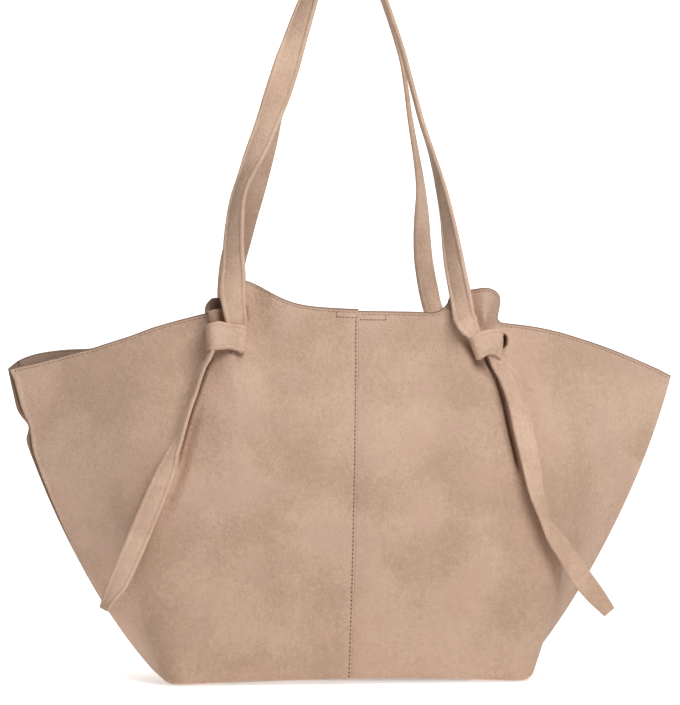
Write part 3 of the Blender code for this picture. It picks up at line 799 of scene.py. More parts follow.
class Finish:
    """A material under construction, with its object coordinates."""

    def __init__(self, name):
        self.material = bpy.data.materials.new(name)
        self.material.use_nodes = True
        self.tree = self.material.node_tree
        self.shader = self.tree.nodes["Principled BSDF"]
        self.where = self.node("ShaderNodeTexCoord", {}, {}, 3)

    def node(self, kind, settings, sockets, output=0):
        """Makes a node: its settings first, then the values or links of its sockets."""
        made = self.tree.nodes.new(kind)
        for name, value in settings.items():
            setattr(made, name, value)
        for name, value in sockets.items():
            put(self.tree, made.inputs[name], value)
        return Socket(self.tree, made.outputs[output])

    def axis(self, number):
        """One of the three object coordinates."""
        return self.node("ShaderNodeSeparateXYZ", {}, {"Vector": self.where}, number)

    def noise(self, scale, detail=2.0, roughness=0.5, distortion=0.0):
        """Soft random values in space."""
        return self.node(
            "ShaderNodeTexNoise", {},
            {"Vector": self.where, "Scale": scale, "Detail": detail, "Roughness": roughness,
             "Distortion": distortion},
        )

    def blend(self, share, first, second, kind="MIX"):
        """Mixes two colours by a share."""
        made = self.tree.nodes.new("ShaderNodeMix")
        made.data_type = "RGBA"
        made.blend_type = kind
        for number, value in ((0, share), (6, first), (7, second)):
            put(self.tree, made.inputs[number], value)
        return Socket(self.tree, made.outputs[2])

    def band(self, value, low, high, to_low=0.0, to_high=1.0):
        """Maps a value between two limits to another pair, smoothly and clamped."""
        return self.node(
            "ShaderNodeMapRange", {"interpolation_type": "SMOOTHSTEP", "clamp": True},
            {"Value": value, "From Min": low, "From Max": high, "To Min": to_low, "To Max": to_high},
        )

    def wear(self, **sockets):
        """Links or sets the shader's own sockets."""
        for name, value in sockets.items():
            put(self.tree, self.shader.inputs[name.replace("_", " ")], value)

    def bump(self, height, strength, distance):
        """Roughens the surface by a height."""
        made = self.node("ShaderNodeBump", {}, {"Height": height, "Strength": strength, "Distance": distance})
        self.wear(Normal=made)


def make_suede(name, sheen, light, dark, blush, depth=1.0, cloud=1.0):
    """Brushed nap: slow clouds, rosy patches, mottled rub marks, a fine pebbled grain and painted shade
    towards the base.
    """
    finish = Finish(name)
    slow = finish.noise(18.0 * cloud, distortion=0.2)
    rosy = finish.noise(38.0 * cloud, distortion=0.4)
    rub = finish.noise(240.0, roughness=0.55)
    speck = finish.noise(520.0, roughness=0.6)
    grain = finish.node("ShaderNodeTexVoronoi", {"feature": "F1"}, {"Vector": finish.where, "Scale": 640.0})
    fibre = finish.noise(1300.0, roughness=0.6)
    tone = (
        finish.band(slow, 0.34, 0.66) * 0.40
        + finish.band(rub, 0.28, 0.72) * 0.20
        + finish.band(speck, 0.28, 0.72) * 0.26
        + finish.band(fibre, 0.3, 0.7) * 0.14
    )
    napped = finish.blend(finish.band(tone, 0.12, 0.86), dark, light)
    rosed = finish.blend(finish.band(rosy, 0.46, 0.66) * 0.45, napped, blush)
    pits = finish.band(grain, 0.62, 0.98) * finish.band(speck, 0.40, 0.62)
    speckled = finish.blend(pits * 0.16, rosed, scaled(dark, 0.62))
    # Painted shade: the colour is darkened towards the base and fades out by a set height.
    painted_low_shade, painted_shade_top = (0.80, 0.785, 0.77), 0.21
    low = finish.blend(1.0, speckled, painted_low_shade, "MULTIPLY")
    finish.wear(
        Base_Color=finish.blend(finish.band(finish.axis(2), 0.0, painted_shade_top), low, speckled),
        Roughness=finish.band(speck, 0.3, 0.7, 0.80, 0.95),
        Sheen_Weight=sheen,
        Sheen_Roughness=0.45,
        Sheen_Tint=(1.0, 0.86, 0.76),
        Specular_IOR_Level=0.18,
    )
    finish.bump(grain * -0.55 + speck * 0.75 + fibre * 0.25 + rub * 0.5, 0.62 * depth, 0.0009)


def make_flesh_side(name, shade):
    """The suede's inner face: darker, fibrous and matt."""
    finish = Finish(name)
    cloud = finish.noise(26.0)
    fibre = finish.noise(900.0, 3.0, 0.65, 0.8)
    tone = finish.band(cloud, 0.3, 0.7) * 0.5 + finish.band(fibre, 0.3, 0.7) * 0.5
    finish.wear(
        Base_Color=finish.blend(tone, scaled(shade, 0.78), scaled(shade, 1.22)),
        Roughness=finish.band(fibre, 0.3, 0.7, 0.88, 0.98),
        Sheen_Weight=0.1,
        Specular_IOR_Level=0.12,
    )
    finish.bump(fibre, 0.35, 0.0006)


def make_thread(name, shade):
    """Twisted sewing thread."""
    finish = Finish(name)
    twist = finish.noise(2600.0, 1.0)
    finish.wear(
        Base_Color=finish.blend(finish.band(twist, 0.35, 0.65), scaled(shade, 0.8), shade), Roughness=0.62
    )
    finish.bump(twist, 0.3, 0.0002)


def make_hole(name, shade):
    """Painted shade of a needle hole: a dark spot standing in for the shade inside the hole."""
    finish = Finish(name)
    rub = finish.noise(1400.0, 1.0)
    finish.wear(Base_Color=finish.blend(rub, scaled(shade, 0.5), shade), Roughness=0.95)


def make_metal(name, shade):
    """Satin plated metal with fine brushing."""
    finish = Finish(name)
    rub = finish.noise(520.0, 3.0, 0.6)
    finish.wear(
        Base_Color=finish.blend(finish.band(rub, 0.3, 0.7), scaled(shade, 0.86), shade),
        Roughness=finish.band(rub, 0.3, 0.7, 0.24, 0.42),
        Metallic=1.0,
    )
    finish.bump(rub, 0.08, 0.0002)


class ShopperMaker(bpy.types.Operator):
    """Shared by the operators: where the sizes are found."""

    bl_options = {"REGISTER", "UNDO"}

    def execute(self, context):
        self.straps = context.scene.shopper_straps
        self.stitches = context.scene.shopper_stitches
        self.finish = context.scene.shopper_finish
        self.studio = context.scene.shopper_studio
        self.walls = Walls(context.scene)
        self.make(context)
        return {"FINISHED"}


class SHOPPER_OT_finishes(ShopperMaker):
    """Make the suede, flesh side, cut edge, thread and metal materials"""

    bl_idname = "shopper.finishes"
    bl_label = "Make finishes"

    def make(self, context):
        look = self.finish
        shades = [tuple(shade) for shade in (look.light, look.dark, look.blush)]
        make_suede("wall_suede", look.sheen, *shades)
        # Painted light: the straps, knots and free ends wear a lighter copy of the wall suede, standing in
        # for the extra light on them.
        painted_lit_shades, darker = [scaled(shade, 1.12) for shade in shades], [scaled(shade, 0.60) for shade in shades]
        make_suede("strap_suede", look.sheen, *painted_lit_shades, depth=0.8, cloud=1.6)
        # Painted shade: the rim facings inside the mouth wear a darker copy of the wall suede, standing in
        # for the shade there.
        make_suede("facing_suede", look.sheen, *darker)
        make_flesh_side("flesh_side", tuple(look.inside))
        make_flesh_side("cut_edge", tuple(look.edge))
        make_thread("sewing_thread", tuple(look.thread))
        # Painted shade: the needle holes are dark spots in a darkened copy of the cut edge colour.
        make_hole("needle_hole", scaled(look.edge, 0.35))
        make_metal("snap_metal_satin", tuple(look.metal))


class SHOPPER_OT_walls(ShopperMaker):
    """Make the four cloth halves of the body, with the wings, pleats and the cloth drawn up by the knots"""

    bl_idname = "shopper.walls"
    bl_label = "Make walls"

    def columns(self, face, side):
        """Places across half a wall, finest at the centre seam and the knots."""
        walls = self.walls
        span = walls.span(side)
        near_seam = (
            0.0, 0.0003, 0.0006, 0.0010, 0.0014, 0.0018, 0.0021, 0.0024, 0.0028, 0.0034, 0.0046, 0.0064,
        )
        places = [place / span for place in near_seam]
        knot = next(x for hand, x in walls.knots[face] if hand == side)
        centre = abs(knot - walls.seam_lean)
        fine, middling, coarse = 0.0007, 0.0012, 0.0024
        place = 0.0085
        while place < span - middling:
            places.append(place / span)
            if -0.016 < place - centre < 0.030:
                place += fine
            elif place - centre < 0.046 or place > span - 0.014:
                place += middling
            else:
                place += coarse
        places.append(1.0)
        return sorted(side * place for place in places)

    def rows(self):
        """Places from the base to the rim, finest where the cloth rolls under and along the rim."""
        walls = self.walls
        height = walls.rim_height
        bends, fine, coarse, fine_from, body_end = 7, 0.0014, 0.0026, 0.150, 0.0075
        roll = [walls.base_roll * (1 - math.cos(math.pi / 2 * i / bends)) for i in range(bends + 1)]
        edge = (0.0, 0.00025, 0.0006, 0.0011, 0.0016, 0.0021, 0.0024, 0.0027, 0.0030, 0.0035, 0.0045, 0.006)
        body = []
        place = roll[-1] + 0.0024
        while place < height - body_end:
            body.append(place)
            place += fine if place > fine_from else coarse
        return [place / height for place in roll + body] + [1 - place / height for place in reversed(edge)]

    def make(self, context):
        for face, wall in WALLS:
            for side, hand in HANDS:
                shape = sheet_grid(
                    self.columns(face, side), self.rows(), lambda u, v: self.walls.place(face, u, v),
                    flip=face == BACK, edge_rows=3,
                )
                piece = finish_mesh(f"{wall}_wall_{hand}", shape, ("wall_suede", "flesh_side", "cut_edge"), 0)
                thicken(piece, self.walls.cloth, 2)
                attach(piece, "bag")
                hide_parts(f"{wall}_panel_{hand}")


class SHOPPER_OT_base(ShopperMaker):
    """Make the base, a stiffened sheet whose edge is turned in between the walls"""

    bl_idname = "shopper.base"
    bl_label = "Make base"

    def make(self, context):
        walls = self.walls
        inset = walls.base_roll - 0.0006
        count = 80

        def ring(shrink, height):
            """The base's outline, drawn in and at a height, once round without a point twice."""
            places = [(FRONT, i) for i in range(count, -count - 1, -1)]
            places += [(BACK, i) for i in range(1 - count, count)]
            points = []
            for face, i in places:
                x, y, out_x, out_y = walls.base_edge(i / count)
                x -= out_x * (inset + shrink)
                y = face * max(y - out_y * (inset + shrink), 0.0)
                middle = max(1 - (2 * x / walls.base_length) ** 2, 0)
                edge = smooth(abs(y) / (walls.base_depth / 2))
                points.append(Vector((x, y, height + walls.base_arch * middle * edge)))
            return points

        rings = [ring(shrink, 0.0) for shrink in (0.040, 0.022, 0.010, 0.0035)]
        rings += [ring(0.0012, 0.0001), ring(0.0003, 0.0006), ring(0.0, 0.0011)]
        rings += [ring(shrink, walls.cloth) for shrink in (0.0006, 0.004, 0.012, 0.026, 0.042)]
        piece = finish_mesh("base_sheet", loft(rings), ("wall_suede",), 60)
        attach(piece, "bag")
        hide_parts("base_panel")


class SHOPPER_OT_inside(ShopperMaker):
    """Make the facings of the rim, the seam strips and the bound side seams inside the bag"""

    bl_idname = "shopper.inside"
    bl_label = "Make inside pieces"

    def make(self, context):
        walls = self.walls
        height = walls.rim_height
        facing_depth, strip_depth = walls.cloth + 0.0002, walls.cloth + 0.0012
        reach, count = 0.975, 180
        drops = (0.0, 0.0003, 0.0009, 0.0018, 0.003, 0.006, 0.010, 0.015, 0.020, 0.025)
        strip_low, strip_half, strip_thickness = 0.014, 0.007, 0.0010
        strip_shares = (1, 0.9, 0.45, 0.12)
        for face, wall in WALLS:
            low = 1 - walls.facing_height / height
            rows = [low, low + 0.002, low + 0.006] + [1 - drop / height for drop in reversed(drops)]
            columns = [mix(-reach, reach, i / count) for i in range(count + 1)]
            shape = sheet_grid(
                columns, rows, lambda u, v: walls.place(face, u, v, facing_depth), flip=face == BACK
            )
            for vert in shape.verts:
                vert.co.y = face * max(face * vert.co.y, walls.gap / 2 + walls.facing)
            # The facing wears the darker copy of the suede, which is painted shade.
            piece = finish_mesh(f"{wall}_rim_facing", shape, ("facing_suede", "flesh_side", "cut_edge"), 0)
            thicken(piece, walls.facing, 2, 0)
            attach(piece, "bag")
            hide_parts(f"{wall}_facing")

            columns = [
                side * strip_half * share / walls.span(side)
                for side in (LEFT, RIGHT) for share in strip_shares
            ]
            rows = [mix(strip_low, low - 0.002, i / 60) for i in range(61)]
            shape = sheet_grid(
                sorted(columns), rows, lambda u, v: walls.place(face, u, v, strip_depth), flip=face == BACK
            )
            piece = finish_mesh(f"{wall}_seam_strip", shape, ("flesh_side", "cut_edge"), 0)
            thicken(piece, strip_thickness, 1, 0)
            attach(piece, "bag")
            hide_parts(f"{wall}_seam_tape")

        count, inset, width, thickness = 40, 0.0052, 0.0092, 0.0017
        for side, hand in HANDS:
            low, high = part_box(f"side_seam_tape_{hand}")
            stations = []
            for i in range(count + 1):
                z = mix(low[2], high[2], i / count)
                place = Vector((side * (self.corner(side, z) - inset), 0, z))
                stations.append((place, width, thickness, 0.0))
            piece = finish_mesh(f"side_binding_{hand}", loft(strap_rings(stations)), ("flesh_side",), 60)
            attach(piece, "bag")
            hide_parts(f"side_seam_tape_{hand}")

    def corner(self, side, z):
        """How far out along X the inner faces of both walls still leave room for the binding."""
        walls = self.walls
        step, room = 0.004, 0.0012
        best = walls.base_length
        for face in (FRONT, BACK):
            u = 1.0
            while u > 0.3:
                v = z / walls.rim(face, side * u)[2]
                point = walls.place(face, side * u, v, plain=True)
                if abs(point.y) - walls.cloth * 1.12 > room:
                    break
                u -= step
            best = min(best, abs(point.x) - room)
        return best


class SHOPPER_OT_stitches(ShopperMaker):
    """Sew the rim, the lapped centre seams and the plain rectangle at the middle of the rim"""

    bl_idname = "shopper.stitches"
    bl_label = "Make stitches"

    def sew(self, name, path, pitch, hole=1.0):
        """Stitches and needle holes along a path of (point, outward) pairs."""
        shape = bmesh.new()
        thread = self.stitches.thread
        stitch_start, stitch_end, stitch_sunk, hole_sunk = 0.20, 0.80, 0.0002, 0.00012
        run = [0.0]
        for (a, _), (b, _) in zip(path, path[1:]):
            run.append(run[-1] + (b - a).length)
        count = max(round(run[-1] / pitch), 1)
        step = run[-1] / count

        def at(distance):
            """The point and outward direction at a distance along the path."""
            i = 0
            while i < len(run) - 2 and run[i + 1] < distance:
                i += 1
            share = (distance - run[i]) / max(run[i + 1] - run[i], 1e-9)
            (a, out_a), (b, out_b) = path[i], path[i + 1]
            return a.lerp(b, share), out_a.lerp(out_b, share).normalized()

        for number in range(count):
            start, _ = at(step * (number + stitch_start))
            end, _ = at(step * (number + stitch_end))
            middle, out = at(step * (number + 0.5))
            ahead = (end - start).normalized()
            aside = out.cross(ahead).normalized()
            turn = Matrix((ahead, aside, aside.cross(ahead) * -1)).transposed().to_4x4()
            size = Matrix.Diagonal(((end - start).length / 2, thread / 2, thread / 2, 1))
            seat = Matrix.Translation(middle - out * stitch_sunk)
            bmesh.ops.create_uvsphere(shape, u_segments=6, v_segments=5, radius=1, matrix=seat @ turn @ size)
        stitched = len(shape.faces)
        # Needle holes: small dark spots of painted shade at each stitch's end.
        for number in range(count + 1):
            place, out = at(min(step * number, run[-1]))
            turn = out.to_track_quat("Z", "Y").to_matrix().to_4x4()
            size = Matrix.Diagonal((thread * hole, thread * hole * 0.8, thread * 0.45, 1))
            seat = Matrix.Translation(place - out * hole_sunk)
            bmesh.ops.create_uvsphere(shape, u_segments=6, v_segments=4, radius=1, matrix=seat @ turn @ size)
        shape.faces.ensure_lookup_table()
        for face in shape.faces[stitched:]:
            face.material_index = 1
        bmesh.ops.recalc_face_normals(shape, faces=shape.faces)
        piece = finish_mesh(name, shape, ("sewing_thread", "needle_hole"), 0)
        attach(piece, "bag")

    def make(self, context):
        walls, stitches = self.walls, self.stitches
        left_span, right_span, inset = walls.left_span, walls.right_span, stitches.rim_inset
        rim_skip, seam_low, seam_end = 0.0035, 0.010, 0.0065
        patch_left, patch_left_end, patch_right_start, patch_right = -0.0165, -0.0045, 0.0016, 0.0200
        patch_top, patch_flank, patch_low = inset + 0.0008, 0.0060, 0.0066
        patch_halves = (
            (patch_left / left_span, patch_left_end / left_span),
            (patch_right_start / right_span, patch_right / right_span),
        )

        def path(face, places):
            """Points of the wall and their outward directions at (u, v) places."""
            return [(walls.place(face, u, v), walls.normal(face, u, v)) for u, v in places]

        def along_rim(face, start, end, drop, count=420):
            """A path at a fixed drop below the rim."""
            places = [mix(start, end, i / count) for i in range(count + 1)]
            return path(face, [(u, 1 - drop / walls.rim(face, u)[2]) for u in places])

        for face, wall in WALLS:
            left = along_rim(face, -1 + rim_skip / left_span, -rim_skip / left_span, inset)
            right = along_rim(face, rim_skip / right_span, 1 - rim_skip / right_span, inset)
            self.sew(f"{wall}_rim_stitches_left", left, stitches.rim_pitch, 0.7)
            self.sew(f"{wall}_rim_stitches_right", right, stitches.rim_pitch, 0.7)

            u = -stitches.seam_inset / left_span
            seam_high = 1 - seam_end / walls.rim_height
            seam = path(face, [(u, mix(seam_low, seam_high, i / 200)) for i in range(201)])
            self.sew(f"{wall}_seam_stitches", seam, stitches.seam_pitch)

            corners = []
            for start, end in patch_halves:
                corners.append(along_rim(face, start, end, patch_low, 20))
                edge = start if start < 0 else end
                drops = [mix(patch_top, patch_flank, i / 4) for i in range(5)]
                corners.append(path(face, [(edge, 1 - drop / walls.rim(face, edge)[2]) for drop in drops]))
            for number, corner in enumerate(corners):
                self.sew(f"{wall}_patch_stitches_{number}", corner, stitches.seam_pitch * 0.85, 0.75)


class SHOPPER_OT_knots(ShopperMaker):
    """Wrap a strap band round the gathered cloth at each knot, with its core, loop and rolled cloth"""

    bl_idname = "shopper.knots"
    bl_label = "Make knots"

    def band(self, face, side, name):
        """The band's stations: place along X and out from the middle plane, middle height and own height."""
        straps, walls = self.straps, self.walls
        axis = abs(SWING[("front" if face == FRONT else "back") + "_strap_swing"]["pos_m"][1])
        front = axis + straps.thickness / 2 + straps.band / 2 + walls.gap
        low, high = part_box(f"knot_{name}")
        middle, height = (low[2] + high[2]) / 2, straps.knot_height
        shift, half_left, half_right = (0.0004, 0.0138, 0.0140) if side == LEFT else (-0.0008, 0.0126, 0.0112)
        centre = knot_x(straps, face, side) + shift
        count, sweep, reach_limit = 56, 0.52 * 1.08 * math.pi, 0.02
        stations = []
        for i in range(count + 1):
            angle = mix(-sweep, sweep, i / count)
            sine = math.sin(angle)
            reach = half_left if sine < 0 else half_right
            x = centre + rounded(sine, 0.34) * reach
            root_x = min(max(x, centre - reach_limit), centre + reach_limit)
            y = mix(walls.out_at(face, root_x, middle) + 0.0012, front, max(math.cos(angle), 0) ** 0.24)
            place = (x - centre) / reach
            top = middle + height * along(band_top_shares[side], place)
            bottom = middle + height * along(band_bottom_shares[side], place)
            stations.append((x, y, (top + bottom) / 2, top - bottom))
        return stations

    def make(self, context):
        straps = self.straps
        up, tuck_in = Vector((0, 0, 1)), 0.0026
        for face, side, name in KNOTS:
            stations = self.band(face, side, name)
            centre = knot_x(straps, face, side)
            rings = []
            for i, (x, y, z, tall) in enumerate(stations):
                a, b = stations[max(i - 1, 0)], stations[min(i + 1, len(stations) - 1)]
                out = up.cross(Vector((b[0] - a[0], face * (b[1] - a[1]), 0)).normalized())
                crease = 1 + 0.10 * noise.noise(Vector((x * 160, 3.0 * face, side)))
                points = strap_section(Vector((x, face * y, z)), up, out, tall, straps.band * crease)
                off = x - centre
                slant = 0.22 * max(off, 0) - 0.0010 if side == LEFT else 0.06 * off + 0.42 * min(off, 0)
                inner = 1 - abs(2 * i / len(stations) - 1) ** 3
                for point in points:
                    lower = 0.5 - (point.z - z) / tall
                    point.x -= lower * slant
                    point.y -= face * tuck_in * lower * lower * inner
                rings.append(points)
            band = finish_mesh(f"knot_band_{name}", loft(rings), ("strap_suede",), 60)
            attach(band, "bag")
            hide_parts(f"knot_{name}")
            self.core(face, name, stations)
            if side == LEFT:
                self.roll(face, name)
            else:
                self.loop(face, name, stations)

    def core(self, face, name, stations):
        """Cloth and strap bunched inside the band, set a little below its edges."""
        levels, corners = 9, 28
        xs = [station[0] for station in stations]
        low_x, high_x = min(xs) + 0.0030, max(xs) - 0.0034
        middle = stations[len(stations) // 2]
        front = middle[1] - self.straps.band / 2 - self.straps.thickness - 0.0012
        rings = []
        for i in range(levels + 1):
            share = i / levels
            z = middle[2] + self.straps.knot_height * (share - 0.5) * 0.84
            pinch = 1 - 0.28 * abs(2 * share - 1) ** 6
            ring = []
            for k in range(corners):
                angle = 2 * math.pi * k / corners
                fold = 0.94 * (1 + 0.07 * math.sin(5 * angle + 2 * share))
                x = mix(low_x, high_x, 0.5 + 0.5 * rounded(math.cos(angle), 0.7) * pinch * fold)
                back = self.walls.out_at(face, x, z) + self.walls.gap
                y = mix(back, front, 0.5 + 0.5 * rounded(math.sin(angle), 0.6) * pinch)
                ring.append(Vector((x, face * y, z)))
            rings.append(ring)
        core = finish_mesh(f"knot_core_{name}", loft(rings), ("strap_suede",), 0)
        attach(core, "bag")

    def roll(self, face, name):
        """The lip of cloth that curls over beside the strap, open at the top."""
        centre = -0.0971 if face == FRONT else -0.0971 + self.straps.back_shift
        radius, bottom, top = 0.0053, 0.2600, 0.2822
        front_drop, left_drop, lean = 0.0085, 0.0035, 0.0008
        seat = self.walls.out_at(face, centre, 0.262) + 0.0012
        shape = bmesh.new()
        bmesh.ops.create_cone(shape, cap_ends=False, segments=40, radius1=1, radius2=1, depth=2)
        cuts = [edge for edge in shape.edges if abs(edge.verts[0].co.z - edge.verts[1].co.z) > 1]
        bmesh.ops.subdivide_edges(shape, edges=cuts, cuts=14, use_grid_fill=False)
        for vert in shape.verts:
            side_x, side_y, share = vert.co.x, vert.co.y, (vert.co.z + 1) / 2
            front = 0.5 + 0.5 * face * side_y
            height = mix(top, top - front_drop, smooth(front)) - left_drop * max(-side_x, 0) ** 2
            wide = radius * (0.92 + 0.16 * share) * (1 + 0.05 * math.sin(3 * side_x + 4 * share))
            x = centre + side_x * wide - lean * share
            vert.co = Vector((x, face * seat + side_y * wide * 0.95, mix(bottom, height, share)))
        piece = finish_mesh(f"cloth_roll_{name}", shape, ("wall_suede", "cut_edge", "cut_edge"), 0)
        thicken(piece, 0.0014, 2)
        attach(piece, "bag")

    def loop(self, face, name, stations):
        """The strap's turn that stands off beside a right knot and leaves a narrow slot."""
        count, thickness, aside = 28, 0.0017, Vector((0, 1, 0))
        edge = max(station[0] for station in stations) + self.straps.band / 2
        middle = stations[len(stations) // 2]
        front = middle[1] - 0.0004
        back = self.walls.out_at(face, edge + 0.002, middle[2]) + 0.0006
        route = (
            (-0.0014, 0.0072), (0.0008, 0.0066), (0.0023, 0.0046), (0.0029, 0.0014), (0.0024, -0.0022),
            (0.0008, -0.0050), (-0.0012, -0.0066),
        )
        across = [(i / (len(route) - 1), edge + point[0]) for i, point in enumerate(route)]
        up = [(i / (len(route) - 1), middle[2] + point[1]) for i, point in enumerate(route)]
        rings = []
        for i in range(count + 1):
            here, ahead, behind = i / count, min(i + 0.5, count) / count, max(i - 0.5, 0) / count
            run_x, run_z = along(across, ahead) - along(across, behind), along(up, ahead) - along(up, behind)
            out = Vector((run_x, 0, run_z)).normalized().cross(aside)
            place = Vector((along(across, here), face * (front + back) / 2, along(up, here)))
            wide = (front - back) * (0.86 + 0.14 * math.sin(math.pi * here))
            rings.append(strap_section(place, aside, out, wide, thickness))
        piece = finish_mesh(f"knot_loop_{name}", loft(rings), ("strap_suede",), 60)
        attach(piece, "bag")


class SHOPPER_OT_straps(ShopperMaker):
    """Make the two carrying straps, which bend where they enter their knots"""

    bl_idname = "shopper.straps"
    bl_label = "Make straps"

    def leg(self, face, side, share):
        """Place, width, thickness and turn of a strap, by its height over the knots, below 0 inside them."""
        straps = self.straps
        axis = SWING["front_strap_swing" if face == FRONT else "back_strap_swing"]["pos_m"]
        foot = side * (straps.foot_left if side == LEFT else straps.foot_right)
        if face == BACK:
            foot -= side * straps.back_shift
        x = mix(straps.apex_offset, foot, along(leg_shares[face, side], share))
        straight = straps.knot_height / 2 / straps.rise
        depth = mix(abs(axis[1]), straps.apex_depth, max(share - straight, 0) / (1 - straight))
        width = mix(straps.foot_width, straps.width, along(foot_flare_shares, share))
        if share < 0:
            x += 0.0046 * smooth(-share / 0.030) if side == RIGHT and face == FRONT else -0.0006
            width = straps.foot_width * (1 + 12 * share)
        ripple = 1 + 0.05 * noise.noise(Vector((share * 18, side * 3.1, face * 1.7)))
        twist = along(twist_shares[face, side], max(share, 0))
        turn = twist if side == LEFT else 2 - twist
        place = Vector((x, face * depth, axis[2] + straps.rise * share))
        return place, width, straps.thickness * ripple, -turn if face == FRONT else turn

    def make(self, context):
        shares = [-0.034, -0.027, -0.020, -0.013, -0.006]
        shares += [math.sin(math.pi / 2 * i / 100) for i in range(101)]
        for face, wall in WALLS:
            stations = [self.leg(face, LEFT, share) for share in shares]
            stations += [self.leg(face, RIGHT, share) for share in shares[-2::-1]]
            piece = finish_mesh(f"{wall}_carry_strap", loft(strap_rings(stations)), ("strap_suede",), 60)
            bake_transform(piece)
            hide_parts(f"{wall}_strap")


class SHOPPER_OT_tails(ShopperMaker):
    """Make the four free ends that hang from the knots"""

    bl_idname = "shopper.tails"
    bl_label = "Make tails"

    def make(self, context):
        straps = self.straps
        count, hidden, hidden_lean = 120, 6, 0.45
        for face, side, name in KNOTS:
            axis = Vector(SWING[f"{name}_tail_lift"]["pos_m"])
            drop = straps.drop_left if side == LEFT else straps.drop_right
            lean = straps.lean_front if face == FRONT else straps.lean_back
            top_width = straps.tail_top_left if side == LEFT else straps.tail_top_right
            stations = []
            for i in range(-hidden, count + 1):
                share = i / count
                down = max(share, 0)
                x, _, turn = tail_course(straps, face, side, axis.z - drop * down)
                x -= side * drop * hidden_lean * max(-share, 0)
                stand = lean * along(tail_stand_shares, down)
                width = mix(top_width, straps.tail_width, along(tail_flare_shares[side], down))
                width *= along(tail_tip_shares[side], down)
                if share < 0:
                    width *= 1 + 5 * share
                ripple = 1 + 0.05 * noise.noise(Vector((share * 14, side * 2.3, face * 4.1)))
                place = Vector((x, axis.y + face * stand, axis.z - drop * share))
                seen_turn = turn if side == LEFT else -turn
                stations.append((place, width, straps.tail_thickness * ripple, seen_turn))
            piece = finish_mesh(f"strap_tail_{name}", loft(strap_rings(stations)), ("strap_suede",), 60)
            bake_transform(piece)
            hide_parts(f"tail_{name}")


class SHOPPER_OT_snap(ShopperMaker):
    """Turn the two halves of the magnetic snap and set them on the facings"""

    bl_idname = "shopper.snap"
    bl_label = "Make snap"

    def make(self, context):
        profiles = {
            "front": ((0.0, 0.0026), (0.0016, 0.0026), (0.0021, 0.0022), (0.0022, 0.0014), (0.0052, 0.0014),
                      (0.0062, 0.0012), (0.0069, 0.0006), (0.0070, 0.0)),
            "back": ((0.0, 0.0006), (0.0022, 0.0006), (0.0026, 0.0010), (0.0028, 0.0018), (0.0034, 0.0022),
                     (0.0056, 0.0022), (0.0066, 0.0017), (0.0070, 0.0009), (0.0070, 0.0)),
        }
        depth = self.walls.cloth + self.walls.facing + 0.0006
        for face, wall in WALLS:
            low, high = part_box(f"snap_{wall}")
            shape = turned_profile(profiles[wall], 40, 1e-6)
            bmesh.ops.holes_fill(shape, edges=[edge for edge in shape.edges if edge.is_boundary], sides=0)
            bmesh.ops.recalc_face_normals(shape, faces=shape.faces)
            centre = (Vector(low) + Vector(high)) / 2
            v = centre.z / self.walls.rim(face, 0.0)[2]
            inward = -self.walls.normal(face, 0.0, v)
            seat = self.walls.place(face, 0.0, v, depth)
            turn = Vector((0, 0, 1)).rotation_difference(inward).to_matrix().to_4x4()
            bmesh.ops.transform(shape, verts=shape.verts, matrix=Matrix.Translation(seat) @ turn)
            piece = finish_mesh(f"snap_half_{wall}", shape, ("snap_metal_satin",), 40)
            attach(piece, "bag")
            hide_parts(f"snap_{wall}")


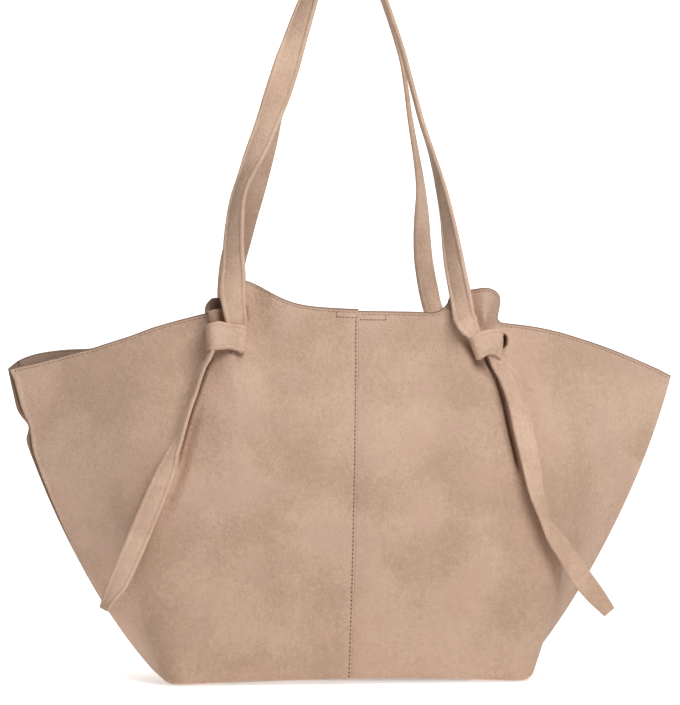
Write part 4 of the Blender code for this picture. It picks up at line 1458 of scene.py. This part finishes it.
class SHOPPER_OT_stage(ShopperMaker):
    """Set the pale floor, which glows with painted light, the soft studio lights and the camera"""

    bl_idname = "shopper.stage"
    bl_label = "Make stage"

    def light(self, name, place, size, power, tint):
        """Hangs a soft lamp that points at the bag."""
        lamp = bpy.data.lights.new(name, "AREA")
        lamp.shape = "RECTANGLE"
        lamp.size, lamp.size_y = size
        lamp.energy = power
        lamp.color = tint
        holder = bpy.data.objects.new(name, lamp)
        holder.location = place
        aim = Vector((0, 0, 0.2)) - Vector(place)
        holder.rotation_euler = aim.to_track_quat("-Z", "Y").to_euler()
        bpy.context.scene.collection.objects.link(holder)

    def make(self, context):
        scene, studio = context.scene, self.studio
        reach, bend, gap, steps = studio.floor_reach, studio.floor_bend, studio.floor_gap, 12
        turns = [math.pi / 2 * i / steps for i in range(steps + 1)]
        profile = [(0.0, -gap)]
        profile += [
            (reach - bend * (1 - math.sin(turn)), bend * (1 - math.cos(turn)) - gap) for turn in turns
        ]
        profile.append((reach, studio.backdrop - gap))
        shape = turned_profile(profile, 72, 1e-5)
        bmesh.ops.recalc_face_normals(shape, faces=shape.faces)
        floor = finish_mesh("studio_floor", shape, (), 0)
        paper = Finish("pale_floor")
        grey, pale_low, pale_high = (0.42, 0.42, 0.42), (0.84, 0.84, 0.84), (0.87, 0.87, 0.87)
        aside, behind = paper.axis(0), paper.axis(1)
        pale = paper.band(behind, -0.42, -0.24)
        far = paper.band(aside * aside, 4.0, 12.0)
        shade = paper.blend(paper.band(paper.noise(3.0), 0.3, 0.7), pale_low, pale_high)
        near = paper.blend(pale, grey, shade)
        # Painted light: a patch of extra glow on the floor beside the bag's left washes out the bag's shadow
        # there.
        painted_light_under_left = (1.0 - paper.band(aside, -0.20, -0.14)) * paper.band(aside, -0.40, -0.30)
        painted_light_under_left = painted_light_under_left * paper.band(behind, -0.12, -0.06)
        back = paper.band(behind, -0.04, 0.12)
        lit = back + painted_light_under_left * (1.0 - back)
        # Painted light: the floor glows, most near and behind the bag and not at the far sides.
        painted_floor_glow = (pale * 0.54 + lit * 0.46) * (1.0 - far)
        paper.wear(
            Base_Color=paper.blend(far, near, grey),
            Roughness=0.9,
            Emission_Color=paper.blend(painted_floor_glow, (0.0, 0.0, 0.0), (1.0, 1.0, 1.0)),
            Emission_Strength=0.95,
        )
        floor.data.materials.append(paper.material)

        self.light("key_light", (0.36, -1.24, 1.26), (0.85, 0.85), studio.key, (1.0, 0.99, 0.98))
        self.light("fill_light", (-2.0, -1.6, 0.9), (1.6, 1.6), studio.fill, (1.0, 0.93, 0.87))
        self.light("top_light", (0.1, 0.3, 2.2), (1.4, 1.4), studio.top, (1.0, 1.0, 1.0))
        world = bpy.data.worlds.new("studio_air")
        world.use_nodes = True
        air = world.node_tree.nodes["Background"]
        air.inputs["Color"].default_value = (1.0, 0.92, 0.85, 1.0)
        air.inputs["Strength"].default_value = studio.world
        scene.world = world
        scene.view_settings.view_transform = "Standard"

        lens = bpy.data.cameras.new("photo_camera")
        lens.sensor_fit = "HORIZONTAL"
        lens.sensor_width = 36.0
        lens.lens = 36.0 * studio.distance / studio.view_width
        lens.clip_end = 30.0
        camera = bpy.data.objects.new("photo_camera", lens)
        camera.location = (
            -studio.distance * math.sin(studio.turn), -studio.distance * math.cos(studio.turn), studio.eye
        )
        camera.rotation_euler = (math.pi / 2, 0, -studio.turn)
        scene.collection.objects.link(camera)
        scene.camera = camera


MAKERS = (
    SHOPPER_OT_finishes, SHOPPER_OT_walls, SHOPPER_OT_base, SHOPPER_OT_inside, SHOPPER_OT_stitches,
    SHOPPER_OT_knots, SHOPPER_OT_straps, SHOPPER_OT_tails, SHOPPER_OT_snap, SHOPPER_OT_stage,
)
SETTINGS = (
    ("shopper_walls", ShopperWallSizes), ("shopper_straps", ShopperStrapSizes),
    ("shopper_stitches", ShopperStitchSizes), ("shopper_finish", ShopperFinish),
    ("shopper_studio", ShopperStudio),
)


class SHOPPER_PT_panel(bpy.types.Panel):
    """Lists the shopper's makers and their sizes"""

    bl_label = "Shopper"
    bl_idname = "SHOPPER_PT_panel"
    bl_space_type = "VIEW_3D"
    bl_region_type = "UI"
    bl_category = "Shopper"

    def draw(self, context):
        for maker in MAKERS:
            self.layout.operator(maker.bl_idname)
        for name, group in SETTINGS:
            box = self.layout.box()
            box.label(text=group.__doc__)
            for setting in group.__annotations__:
                box.prop(getattr(context.scene, name), setting)


def register():
    for name, group in SETTINGS:
        bpy.utils.register_class(group)
        setattr(bpy.types.Scene, name, bpy.props.PointerProperty(type=group))
    for maker in MAKERS:
        bpy.utils.register_class(maker)
    bpy.utils.register_class(SHOPPER_PT_panel)


def unregister():
    bpy.utils.unregister_class(SHOPPER_PT_panel)
    for maker in reversed(MAKERS):
        bpy.utils.unregister_class(maker)
    for name, group in reversed(SETTINGS):
        delattr(bpy.types.Scene, name)
        bpy.utils.unregister_class(group)


def main():
    register()
    for maker in MAKERS:
        group, name = maker.bl_idname.split(".")
        getattr(getattr(bpy.ops, group), name)()


if __name__ == "__main__":
    main()
